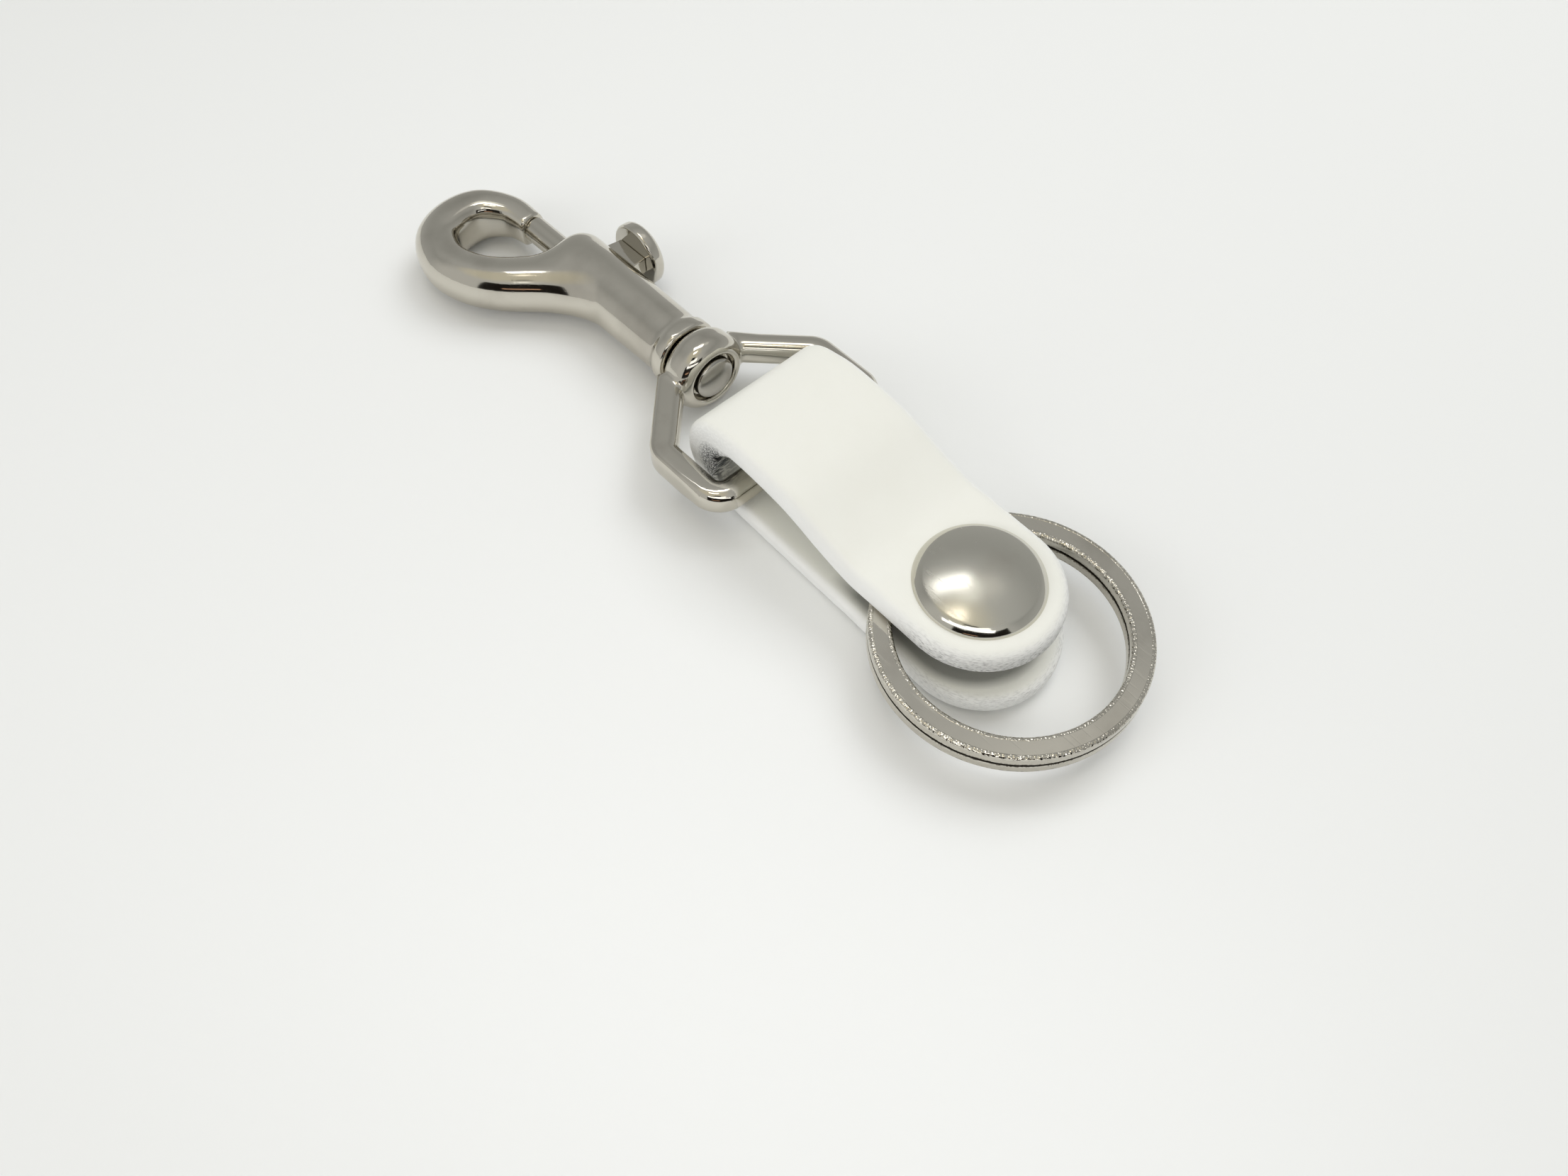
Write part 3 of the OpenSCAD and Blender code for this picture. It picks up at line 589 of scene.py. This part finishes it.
def turned(name, profile, place, edge=0.1, sides=96):
    """A piece turned on a lathe: rows of radius and height from its one end to its other. Rows with no radius lie
    on the axis. A profile that never meets the axis is closed on itself."""
    hollow = min(row[0] for row in profile) > 0
    points, faces, rings = [], [], []
    for radius, height in profile:
        first = len(points)
        if radius == 0:
            points.append((0, 0, height))
            rings.append([first] * sides)
        else:
            turns = [2 * math.pi * i / sides for i in range(sides)]
            points += [(radius * math.cos(turn), radius * math.sin(turn), height) for turn in turns]
            rings.append(list(range(first, first + sides)))
    pairs = list(zip(rings, rings[1:] + (rings[:1] if hollow else [])))
    for low_ring, high_ring in pairs:
        for i in range(sides):
            j = (i + 1) % sides
            face = []
            for corner in (low_ring[i], low_ring[j], high_ring[j], high_ring[i]):
                if corner not in face:
                    face.append(corner)
            if len(face) > 2:
                faces.append(face)
    piece = mesh_object(name, place(np.array(points, float)), faces)
    face_outwards(piece)
    soften(piece, edge)
    return piece


bolt_profile = [
    (0, bolt_back - spigot_l), (spigot_d / 2, bolt_back - spigot_l), (spigot_d / 2, bolt_back),
    (bolt_head_d / 2, bolt_back), (bolt_head_d / 2, bolt_front), (bolt_d / 2, bolt_front),
    (bolt_d / 2, bolt_tip), (0, bolt_tip)]
bolt = turned("bolt_rod", bolt_profile, along_reach, 0.22)
finish_piece(bolt, hook_nickel, "bolt", "polished_nickel", "bolt")

# Thumb knob. A cast piece pressed into the bolt: a flat neck that runs in the barrel's slot, sloped at its front,
# and a round head with a low dome for the thumb.
knob_reach = 38.9
knob_d = 8.6
knob_t = 2.8
knob_low = mouth_d / 2 + 2.1
neck_low = bolt_head_d / 2 - 0.7
neck_slope = 0.8


def across_barrel(points):
    """Points drawn round Z, with Z standing out to the side of the barrel at the knob."""
    return to_row(np.stack([knob_reach + points[:, 0], points[:, 2], points[:, 1]], 1))


dome_steps = 10
knob_rim_t = 1.15
knob_profile = [(0, knob_low), (knob_d / 2 - 0.25, knob_low), (knob_d / 2, knob_low + 0.3),
                (knob_d / 2, knob_low + knob_rim_t)]
for step in range(1, dome_steps + 1):
    turn = math.pi / 2 * step / dome_steps
    knob_profile.append((knob_d / 2 * math.cos(turn), knob_low + knob_rim_t + (knob_t - knob_rim_t) * math.sin(turn)))
knob_profile[-1] = (0, knob_low + knob_t)
knob = turned("knob_head", knob_profile, across_barrel, 0.12)
finish_piece(knob, hook_nickel, "bolt", "polished_nickel", "thumb_knob")

neck_points = np.array([
    (reach, side, height)
    for side, start, end in ((neck_low, neck_start, neck_end),
                             (knob_low, neck_start + 0.3, neck_end - neck_slope))
    for reach, height in ((start, -neck_w / 2), (end, -neck_w / 2), (end, neck_w / 2), (start, neck_w / 2))])
neck = mesh_object("knob_neck", to_row(neck_points),
                   [(0, 1, 2, 3), (7, 6, 5, 4), (0, 4, 5, 1), (1, 5, 6, 2), (2, 6, 7, 3), (3, 7, 4, 0)])
soften(neck, 0.18)
finish_piece(neck, hook_nickel, "bolt", "polished_nickel")

# Swivel loop. A zinc casting like the hook: a flat-sided bar bent into the outline of a house, with a round hub
# at its peak. The strap wraps its crossbar.
hub_reach = 19.8
hub_l = 4.9
hub_low = hub_reach - hub_l
hub_d = 10.4
hub_edge = 1.9
bar_w = 3.4
bar_t = 3.5
bar_edge = 0.5
loop_inner_w = 21.6
loop_half_w = loop_inner_w / 2 + bar_w / 2
side_l = 9.8
recess_d = 6.7
recess_depth = 1.6
shank_hole_r = 1.68


def rounded_line(corners, steps):
    """A flat line through corners that are given as reach, side and the radius that rounds them."""
    out = [np.array(corners[0][:2], float)]
    for a, b, c in zip(corners, corners[1:], corners[2:]):
        a, radius, b, c = np.array(a[:2], float), b[2], np.array(b[:2], float), np.array(c[:2], float)
        u, v = (a - b) / np.linalg.norm(a - b), (c - b) / np.linalg.norm(c - b)
        half = math.acos(u @ v) / 2
        middle = b + (u + v) / np.linalg.norm(u + v) * radius / math.sin(half)
        start, end = b + u * radius / math.tan(half) - middle, b + v * radius / math.tan(half) - middle
        turn = math.pi - 2 * half
        out += [middle + (math.sin(turn * (1 - t)) * start + math.sin(turn * t) * end) / math.sin(turn)
                for t in np.arange(steps + 1) / steps]
    return np.array(out + [np.array(corners[-1][:2], float)])


arm_end = hub_reach - 0.36 * hub_l
arm_side = 0.86 * hub_d / 2
loop_line = rounded_line([
    (arm_end, arm_side, 0), (side_l, loop_half_w, 2.4), (0, loop_half_w, 2.2), (0, -loop_half_w, 2.2),
    (side_l, -loop_half_w, 2.4), (arm_end, -arm_side, 0)], 9)


def loop_form(x, y, z):
    """The bent bar and its hub, with the recess for the rivet's head and the hole for its shank."""
    side, past, _ = beside(x, y, loop_line)
    inner_edge = bar_edge + 0.15 + np.interp(x, (0, 5), (0.75, 0)) + np.interp(y, (3, 8), (0, 0.85))
    edge = np.where(side > 0, bar_edge + 0.95, np.minimum(inner_edge, 1.5))
    bar = np.maximum(rounded(np.abs(side) - bar_w / 2, np.abs(z) - bar_t / 2, edge), past)
    out = np.hypot(y, z)
    hub = rounded(out - hub_d / 2, np.abs(x - hub_reach + hub_l / 2) - hub_l / 2, hub_edge)
    body = melt(bar, hub, 0.5)
    recess = np.maximum(out - recess_d / 2, x - hub_low - recess_depth)
    hole = out - shank_hole_r
    return np.maximum(trim(body, -recess, 0.45), -hole)


loop, _ = cast("loop_casting", loop_form, (-2, -14.3, -5.3), (21, 14.3, 5.3), 0.22)
finish_piece(loop, hook_nickel, "loop", "polished_nickel", "swivel_loop")

# Swivel rivet. A turned steel rivet: its low domed head turns in the hub's recess, and its end is pressed into
# the barrel.
rivet_head_d = 5.6
rivet_head_t = 2.2
rivet_d = 3.2
plug_l = 4
seat_clear = 0.02
head_low = hub_low + recess_depth - rivet_head_t - run_clear
rivet_profile = [(0, head_low)]
for step in range(1, dome_steps + 1):
    turn = math.pi / 2 * step / dome_steps
    rivet_profile.append((rivet_head_d / 2 * math.sin(turn), head_low + 0.4 * rivet_head_t * (1 - math.cos(turn))))
rivet_profile += [(rivet_head_d / 2, head_low + rivet_head_t), (rivet_d / 2, head_low + rivet_head_t),
                  (rivet_d / 2, collar_reach), (chamber_d / 2 - seat_clear, collar_reach),
                  (chamber_d / 2 - seat_clear, collar_reach + plug_l), (0, collar_reach + plug_l)]
rivet_nickel = nickel("rivet_nickel", (0.5, 0.48, 0.44, 1), (0.4, 0.38, 0.34, 1), 0.16)
rivet = turned("rivet_turned", rivet_profile, along_reach, 0.08)
finish_piece(rivet, rivet_nickel, "hook", "dark_nickel", "swivel_rivet")

# Leather strap. One strip of smooth white leather 3 mm thick with painted, rounded edges. It lies on the table,
# wraps the crossbar and comes back over the key ring. Its fold opens at the crown, so it is made as two pieces
# that meet under the crossbar, where neither moves.
strap_w = 19.3
strap_t = 3
strap_end = 11.3
flap_back = 1.4
fold_reach = 9.3
snap_gap = 3.5
off_table = 0.3
lower_skew = -0.8
base_middle = off_table + strap_t / 2
flap_middle = base_middle + strap_t + snap_gap
crown = np.array(joints["flap_open"]["pos_m"]) / mm
crown_place = (crown[0], crown[2] - strap_t / 2)
bar_turn_r = math.hypot(bar_w / 2 - bar_edge, bar_t / 2 - bar_edge) + bar_edge
under_bar = bar_middle[2] - bar_turn_r - run_clear - strap_t / 2
fold_r = 0.48 * (crown_place[1] - under_bar)
fold_middle = (bar_middle[0] - fold_reach + strap_t / 2 + fold_r, under_bar + fold_r)
ring_near = -10.3
fall_shares = [(0.2, 0.97), (0.47, 0.79), (0.76, 0.31)]
strap_way = [(strap_end, base_middle), (0, base_middle), (-6.5, base_middle), (-9.5, base_middle),
             (0.62 * bar_middle[0], strap_t / 2 + 0.09),
             (bar_middle[0] + 0.12 * fold_reach, under_bar - 0.03 * fold_reach)]
strap_way += [(fold_middle[0] + fold_r * math.cos(math.radians(-90 - 36 * i)),
               fold_middle[1] + fold_r * math.sin(math.radians(-90 - 36 * i))) for i in range(6)]
strap_way += [crown_place]
strap_way += [(crown[0] + a * (ring_near - crown[0]), flap_middle + b * (crown_place[1] - flap_middle))
              for a, b in fall_shares]
strap_way += [(ring_near, flap_middle), (-6.5, flap_middle), (0, flap_middle), (strap_end - flap_back, flap_middle)]
strap_line = curve_through(strap_way, 12)
strap_reach = np.concatenate([[0], np.cumsum(np.hypot(*np.diff(strap_line, axis=0).T))])
strap_turn = np.unwrap(np.arctan2(*np.gradient(strap_line, axis=0).T[::-1]))


def on_strap(points):
    """Points given as the way along the strap, across it and out of its middle, in metres in the row frame. The
    free end of the lower layer lies a little to the side."""
    way, across, out = points.T
    across = across + lower_skew * np.clip(1 - way / 32, 0, 1)**1.5
    turn = np.interp(way, strap_reach, strap_turn)
    x = np.interp(way, strap_reach, strap_line[:, 0]) - out * np.sin(turn)
    z = np.interp(way, strap_reach, strap_line[:, 1]) + out * np.cos(turn)
    return np.stack([x, across, z], 1) * mm


seam_past_bar = 1.2
turn_back = int(np.argmin(strap_line[:, 0]))
seam = float(np.interp(-(bar_middle[0] - seam_past_bar), -strap_line[:turn_back, 0], strap_reach[:turn_back]))
fold_start = seam + 1.5
fold_l = 17
outer_round = 1.3
inner_round = 0.6
fold_bulge = 2.1
crease_l = 1.5


def leather_form(start, end):
    """A strip of leather between two places on the strap, with round edges. An end at either end of the strap is
    a half circle, and an end between them is cut square. The fold crushes its inner side into creases."""
    def form(way, across, out):
        low_end = start + (strap_w / 2 if start == 0 else 0)
        high_end = end - (strap_w / 2 if end == strap_reach[-1] else 0)
        past = np.maximum(low_end - way, way - high_end)
        plan = np.hypot(np.maximum(past, 0), across) - strap_w / 2
        square = np.maximum(start - way, way - end)
        roundness = np.where(out > 0, outer_round, inner_round)
        fold = np.clip((way - fold_start) / 5, 0, 1) * np.clip((fold_start + fold_l - way) / 5, 0, 1)
        crease = 0.12 * np.sin(2 * math.pi * way / crease_l + 0.25 * across)
        thicker = fold * fold * (3 - 2 * fold) * (fold_bulge + crease)
        slab = rounded(plan, np.where(out > 0, out, -out - thicker) - strap_t / 2, roundness)
        return np.maximum(slab, square)
    return form


lower_leather, lower_drawn = cast(
    "lower_leather", leather_form(0, seam), (0, -strap_w / 2, -strap_t / 2), (seam, strap_w / 2, strap_t / 2),
    0.34, on_strap, False)
upper_leather, upper_drawn = cast(
    "upper_leather", leather_form(seam, strap_reach[-1]), (seam, -strap_w / 2, -strap_t / 2 - fold_bulge),
    (strap_reach[-1], strap_w / 2, strap_t / 2), 0.34, on_strap, False)


def store(piece, name, values, kind="FLOAT", field="value"):
    """Stores a number or a direction for each point of a piece, for its material."""
    mark = piece.data.attributes.new(name, kind, "POINT")
    mark.data.foreach_set(field, np.ascontiguousarray(values, np.float32).ravel())


def stored(nodes, name):
    """A node that reads what a piece stores under a name."""
    attribute = nodes.new("ShaderNodeAttribute")
    attribute.attribute_name = name
    return attribute


def mark_leather(piece, drawn):
    """Stores where each point lies on the flat strip and along its rim, how near it is to the cut edge, how much
    the fold crushes the leather there and how much painted shade darkens its creases, where the rim is rubbed,
    and where painted shade falls on the lower layer under the flap."""
    way, across, out = drawn.T
    end_gap = np.minimum(way, strap_reach[-1] - way)
    inset = strap_w / 2 - np.hypot(np.maximum(strap_w / 2 - end_gap, 0), across)
    edge = np.clip(1 - inset / 1.1, 0, 1)
    in_fold = np.clip((way - seam + 3) / 4, 0, 1) * np.clip((seam + 21 - way) / 5, 0, 1)
    inner = np.clip(-0.25 - out / strap_t, 0, 1)
    near_side = np.clip(1 - inset / 5, 0, 1)
    round_r = strap_w / 2
    rim = np.where(end_gap < round_r, round_r * np.arctan2(across, np.maximum(round_r - end_gap, 0.001)),
                   np.sign(across) * (math.pi / 2 * round_r + end_gap - round_r))
    from_snap = np.where(way < strap_reach[-1] / 2, strap_end, strap_end - flap_back) - end_gap
    lower = np.clip((strap_reach[-1] / 2 - way) / 5, 0, 1)
    covered = round_r - np.hypot(np.maximum(from_snap - strap_end + flap_back + round_r, 0), across) - 0.4
    facing = np.clip((-out - strap_t / 2 + 0.4) / 0.3, 0, 1)
    store(piece, "cut_edge", edge * edge * (3 - 2 * edge))
    # Painted shade in the fold: its inner side, most near the edges, is darkened in the creases; the same mask
    # deepens the bumps there.
    store(piece, "crushed_and_shaded", np.clip(2 * near_side * inner + 0.1 * edge, 0, 1) * in_fold)
    store(piece, "rubbed",
          edge * np.clip((14 - end_gap) / 5, 0, 1) * np.clip(0.7 - out / strap_t, 0, 1) * (1 - 0.6 * lower))
    # Painted shade: the top of the lower layer darkens where the flap hangs over it.
    store(piece, "flap_shade",
          lower * facing * np.clip(covered / 1.2, 0, 1) * np.interp(covered, (2.5, 5), (1, 0.15))
          * np.clip((from_snap + 14) / 4, 0, 1))
    store(piece, "along_edge", np.stack([rim, inset, out], 1), "FLOAT_VECTOR", "vector")
    store(piece, "on_strip", drawn, "FLOAT_VECTOR", "vector")


mark_leather(lower_leather, lower_drawn)
mark_leather(upper_leather, upper_drawn)


def white_leather():
    """Smooth coated leather with faint pores. Its painted edges are greyed by wear in fine streaks, and the
    inside of the fold is creased, with painted shade darkening the creases."""
    material, nodes, links, shader = new_material("white_leather")
    strip, rim = (stored(nodes, name).outputs["Vector"] for name in ("on_strip", "along_edge"))
    edge, crushed_and_shaded, rubbed, flap_shade = (stored(nodes, name).outputs["Fac"]
                                    for name in ("cut_edge", "crushed_and_shaded", "rubbed", "flap_shade"))

    def noise(place, stretch, scale, detail):
        laid = nodes.new("ShaderNodeVectorMath")
        laid.operation = "MULTIPLY"
        laid.inputs[1].default_value = stretch
        links.new(place, laid.inputs[0])
        texture = nodes.new("ShaderNodeTexNoise")
        texture.inputs["Scale"].default_value = scale
        texture.inputs["Detail"].default_value = detail
        links.new(laid.outputs["Vector"], texture.inputs["Vector"])
        return texture.outputs["Fac"]

    def between(value, low, high, floor=0.0, ceiling=1.0):
        share = nodes.new("ShaderNodeMapRange")
        for socket, number in (("From Min", low), ("From Max", high), ("To Min", floor), ("To Max", ceiling)):
            share.inputs[socket].default_value = number
        links.new(value, share.inputs["Value"])
        return share.outputs["Result"]

    def times(a, b):
        return combined(material.node_tree, "MULTIPLY", a, b)

    def tint(below, share, colour):
        mix = nodes.new("ShaderNodeMix")
        mix.data_type = "RGBA"
        mix.inputs["B"].default_value = colour
        if isinstance(below, tuple):
            mix.inputs["A"].default_value = below
        else:
            links.new(below, mix.inputs["A"])
        links.new(share, mix.inputs["Factor"])
        return mix.outputs["Result"]

    pores = noise(strip, (1, 1, 1), 5.5, 6)
    clouds = noise(strip, (0.5, 0.5, 0.5), 0.5, 4)
    streaks = noise(rim, (0.7, 3.2, 3.6), 2.4, 7)
    # The pattern of the painted shade in the fold's creases.
    creases = noise(strip, (1.6, 0.7, 3.2), 1.5, 3)
    colour = tint((0.9, 0.9, 0.85, 1), between(clouds, 0.4, 0.75, 0, 0.25), (0.87, 0.865, 0.8, 1))
    # Edge paint, cooler than the top; it is also made lighter as painted light on the side walls.
    colour = tint(colour, edge, (0.93, 0.935, 0.925, 1))
    colour = tint(colour, times(rubbed, between(streaks, 0.47, 0.66)), (0.24, 0.24, 0.24, 1))
    # Painted shade under the flap: a dark grey laid over the lower layer.
    colour = tint(colour, between(flap_shade, 0, 1, 0, 0.85), (0.2, 0.2, 0.185, 1))
    # Painted shade: the fold's creases turn near black.
    colour = tint(colour, times(crushed_and_shaded, between(creases, 0.42, 0.54, 0.15, 1)), (0.13, 0.135, 0.14, 1))
    links.new(colour, shader.inputs["Base Color"])
    height = combined(material.node_tree, "ADD", times(pores, between(edge, 0, 1, 0.25, 0.45)),
                      times(times(edge, streaks), between(crushed_and_shaded, 0, 0.6, 0.1, 4)))
    bump = nodes.new("ShaderNodeBump")
    bump.inputs["Strength"].default_value = 0.35
    bump.inputs["Distance"].default_value = 0.00012
    links.new(height, bump.inputs["Height"])
    links.new(bump.outputs["Normal"], shader.inputs["Normal"])
    links.new(between(edge, 0, 1, 0.46, 0.7), shader.inputs["Roughness"])
    return material


leather = white_leather()
finish_piece(lower_leather, leather, "strap", "white_leather", "strap_base")
upper_leather.data.materials.append(leather)
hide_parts("strap_base", "strap_flap")
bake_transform(upper_leather)

# Key ring. Flat steel wire with rounded edges, wound twice round and plated. The turns touch, and the wire climbs
# from the lower to the upper one over a short ramp.
ring_r = 15.7
ring_w = 2.7
wire_t = 1.54
turn_gap = 0.06
ring_middle = 5.4
ring_low = 3.46
ramp_angle = 28
cut_angle = 1.2
ring_cut_angle = 150
wire_corner = 0.36
shoulder_arc = 1.2
shoulder_turn = 9
# How far the painted shade reaches into each turn's face where the turns meet.
groove_t = 0.17


def wire_section():
    """The wire's outline as radius, height and how much the point belongs to a corner. Each flat falls off in a
    soft shoulder before its round corner."""
    lean = math.radians(shoulder_turn)
    quarter = []
    flat_end = ring_w / 2 - wire_corner * (1 - math.sin(lean)) - shoulder_arc * math.sin(lean)
    quarter.append((flat_end - 0.08, wire_t / 2, 0))
    for step in range(5):
        turn = lean * step / 4
        fall = shoulder_arc * (1 - math.cos(turn))
        quarter.append((flat_end + shoulder_arc * math.sin(turn), wire_t / 2 - fall, 1))
    middle = (quarter[-1][0] - wire_corner * math.sin(lean), quarter[-1][1] - wire_corner * math.cos(lean))
    for step in range(1, 7):
        turn = lean + (math.pi / 2 - lean) * step / 6
        quarter.append((middle[0] + wire_corner * math.sin(turn), middle[1] + wire_corner * math.cos(turn), 1))
    quarter.append((ring_w / 2, middle[1] - 0.06, 0))
    outline = [(x, z, mark) for x, z, mark in quarter] + [(x, -z, mark) for x, z, mark in reversed(quarter)]
    outline += [(-x, -z, mark) for x, z, mark in quarter] + [(-x, z, mark) for x, z, mark in reversed(quarter)]
    return [(ring_r - ring_w / 2 + x, wire_t / 2 + z, mark) for x, z, mark in outline]


def wound_ring():
    """The wire's outline swept along its two turns."""
    section = wire_section()
    angles = np.arange(ramp_angle + cut_angle, 720 - cut_angle + 0.01, 1.5)
    points, faces = [], []
    for angle in angles:
        level = (wire_t + turn_gap) * min(1, max(0, (angle - 360) / ramp_angle))
        turn = math.radians(angle + ring_cut_angle)
        points += [((ring_middle + r * math.cos(turn)) * mm, r * math.sin(turn) * mm, (ring_low + level + h) * mm)
                   for r, h, _ in section]
    count = len(section)
    for i in range(len(angles) - 1):
        for j in range(count):
            k = (j + 1) % count
            faces.append((i * count + j, i * count + k, (i + 1) * count + k, (i + 1) * count + j))
    faces.append(list(range(count - 1, -1, -1)))
    faces.append([(len(angles) - 1) * count + j for j in range(count)])
    piece = mesh_object("ring_wire", points, faces)
    store(piece, "corner", [row[2] for row in section] * len(angles))
    # Painted shade: the wire's faces where the two turns meet are marked to be darkened.
    in_groove_shade = [(angle < 360 - 2 * cut_angle and h > wire_t - groove_t) or (angle > 362 + ramp_angle and h < groove_t)
            for angle in angles for _, h, _ in section]
    store(piece, "groove", in_groove_shade)
    face_outwards(piece)
    piece.modifiers.new("flat_faces", "WEIGHTED_NORMAL").keep_sharp = False
    return piece


def ring_nickel():
    """The ring's plate. Keys have rubbed its corners, so that they glitter in small bright nicks, and painted shade
    darkens the wire where its turns meet."""
    material = nickel("ring_nickel", scratches=0.45)
    nodes, links = material.node_tree.nodes, material.node_tree.links
    shader = next(node for node in nodes if node.type == "BSDF_PRINCIPLED")
    plating = next(node for node in nodes if node.type == "GROUP")
    place = nodes.new("ShaderNodeTexCoord")
    nicks = nodes.new("ShaderNodeTexVoronoi")
    nicks.inputs["Scale"].default_value = 3600
    links.new(place.outputs["Object"], nicks.inputs["Vector"])
    dent = combined(material.node_tree, "MULTIPLY", nicks.outputs["Distance"], stored(nodes, "corner").outputs["Fac"])
    rubbed = nodes.new("ShaderNodeBump")
    rubbed.inputs["Strength"].default_value = 0.9
    rubbed.inputs["Distance"].default_value = 0.00008
    links.new(dent, rubbed.inputs["Height"])
    links.new(plating.outputs["Normal"], rubbed.inputs["Normal"])
    links.new(rubbed.outputs["Normal"], shader.inputs["Normal"])
    # Painted shade where the turns meet: near black and rough.
    groove = stored(nodes, "groove")
    for name, colour in (("Base Color", (0.03, 0.026, 0.02, 1)), ("Roughness", (0.7, 0.7, 0.7, 1))):
        fill = nodes.new("ShaderNodeMix")
        fill.data_type = "RGBA"
        fill.inputs["B"].default_value = colour
        links.new(shader.inputs[name].links[0].from_socket, fill.inputs["A"])
        links.new(groove.outputs["Fac"], fill.inputs["Factor"])
        links.new(fill.outputs["Result"], shader.inputs[name])
    return material


ring = finish_piece(wound_ring(), ring_nickel(), "ring", "polished_nickel", "split_ring")

# Press snap. Four pressed brass parts and two hollow rivets, all plated: the domed cap on the flap, the socket
# with its wire spring under it, and the stud on the lower leather, each clinched through a punched hole.
cap_d = 15
cap_h = 2.8
cap_sunk = 0.35
# Radius, and lean in degrees there, of the dome's middle and end and of the shoulder's steep and rolled parts
cap_leans = [(0, 0), (6.4, 22.4), (6.6, 36), (7.15, 46.5)]
rim_start = 6.45
rim_fade = 0.15
flap_top = flap_middle + strap_t / 2
flap_low = flap_middle - strap_t / 2
base_top = base_middle + strap_t / 2
cap_reach = np.linspace(0, cap_leans[-1][0], 72)
cap_lean = np.radians(np.interp(cap_reach, *zip(*cap_leans)))
cap_fall = np.cumsum(np.append(0, np.diff(cap_reach) * (np.tan(cap_lean[1:]) + np.tan(cap_lean[:-1])) / 2))
cap_profile = [(r, cap_h - fall) for r, fall in zip(cap_reach.tolist(), cap_fall.tolist())]
shoulder_r = (cap_d / 2 - cap_reach[-1]) / (1 - math.sin(cap_lean[-1]))
shoulder_z = cap_profile[-1][1] - shoulder_r * math.cos(cap_lean[-1])
for turn in np.linspace(cap_lean[-1], math.pi / 2, 11)[1:]:
    cap_profile.append((cap_d / 2 - shoulder_r * (1 - math.sin(turn)), shoulder_z + shoulder_r * math.cos(turn)))
cap_profile += [(cap_d / 2 - 0.05, 0), (0, 0)]
cap = turned("cap_dome", [(r, flap_top - cap_sunk + h) for r, h in cap_profile], upright, 0.05, 128)
store(cap, "rim", [np.clip((math.hypot(v.co.x, v.co.y) / mm - rim_start) / rim_fade, 0, 1)
                   for v in cap.data.vertices])


def pressed_nickel():
    """The plate of the snap's pressed parts: brushed soft on the cap's dome, and bright where its rim is rolled."""
    material = nickel("cap_nickel", (0.66, 0.64, 0.57, 1), (0.6, 0.57, 0.5, 1), 0.23, 0.025, 0.35)
    nodes, links = material.node_tree.nodes, material.node_tree.links
    shader = next(node for node in nodes if node.type == "BSDF_PRINCIPLED")
    rim = stored(nodes, "rim")
    bright = nodes.new("ShaderNodeMix")
    bright.inputs["B"].default_value = 0.09
    links.new(shader.inputs["Roughness"].links[0].from_socket, bright.inputs["A"])
    links.new(rim.outputs["Fac"], bright.inputs["Factor"])
    links.new(bright.outputs["Result"], shader.inputs["Roughness"])
    return material


cap_nickel = pressed_nickel()
finish_piece(cap, cap_nickel, "flap", "polished_nickel", "snap_cap")

sheet_t = 0.45
post_d = 4
button_d = 6.2
socket_d = 12.4
stud_d = 11.2
stud_top = base_top + sheet_t
socket_low = stud_top + face_gap / 2
plate_low = flap_low - sheet_t
mouth_r = button_d / 2 + face_gap + run_clear
spring_wire_t = 0.5
groove_low = socket_low + 1.6 * sheet_t
groove_h = spring_wire_t + 2 * run_clear
groove_r = mouth_r + spring_wire_t
hole_r = post_d / 2 + seat_clear
foot_d = 9.5
foot_t = 0.7
socket = turned("snap_socket_shell", [
    (hole_r, flap_low), (hole_r, plate_low), (mouth_r, plate_low), (mouth_r, groove_low + groove_h),
    (groove_r, groove_low + groove_h), (groove_r, groove_low), (mouth_r, groove_low),
    (mouth_r, socket_low + sheet_t / 2), (mouth_r + sheet_t / 2, socket_low), (socket_d / 2 - sheet_t, socket_low),
    (socket_d / 2, socket_low + sheet_t), (socket_d / 2, flap_low - sheet_t / 2),
    (socket_d / 2 - sheet_t / 2, flap_low)], upright, 0.1)
finish_piece(socket, cap_nickel, "flap", "polished_nickel", "snap_socket")

neck_r = button_d / 2 - 0.35
button_top = base_top + snap_gap - 3 * sheet_t - 2 * seat_clear
stud = turned("snap_stud_shell", [
    (hole_r, base_top), (stud_d / 2 - sheet_t / 2, base_top), (stud_d / 2, base_top + sheet_t / 2),
    (stud_d / 2 - sheet_t / 2, stud_top), (neck_r, stud_top), (neck_r, groove_low + groove_h),
    (button_d / 2, button_top - 0.9 * sheet_t), (button_d / 2 - 0.8 * sheet_t, button_top),
    (neck_r - sheet_t, button_top), (neck_r - sheet_t, stud_top), (hole_r, stud_top)], upright, 0.1)
finish_piece(stud, cap_nickel, "strap", "polished_nickel", "snap_stud")


def rivet_rows(flange_d, flange_t, length, flare_d):
    """The outline of a hollow rivet that stands on its flange and is flared at its far end."""
    bore_r = post_d / 2 - sheet_t
    return [(0, 0), (flange_d / 2, 0), (flange_d / 2, flange_t), (post_d / 2, flange_t),
            (post_d / 2, length - sheet_t), (flare_d / 2, length - sheet_t), (flare_d / 2, length - 0.4 * sheet_t),
            (bore_r + sheet_t / 2, length), (bore_r, length - sheet_t / 2), (bore_r, flange_t), (0, flange_t)]


post = turned(
    "snap_post_rivet",
    rivet_rows(foot_d, foot_t, stud_top + seat_clear + sheet_t, 2 * (neck_r - sheet_t - run_clear)), upright, 0.09)
finish_piece(post, rivet_nickel, "strap", "dark_nickel", "snap_post")

for node_name in ("snap_cap_post", "snap_spring", "bolt_spring"):
    node_object = frame["nodes"][node_name]
    node_object.data.materials.clear()
    node_object.data.materials.append(rivet_nickel)
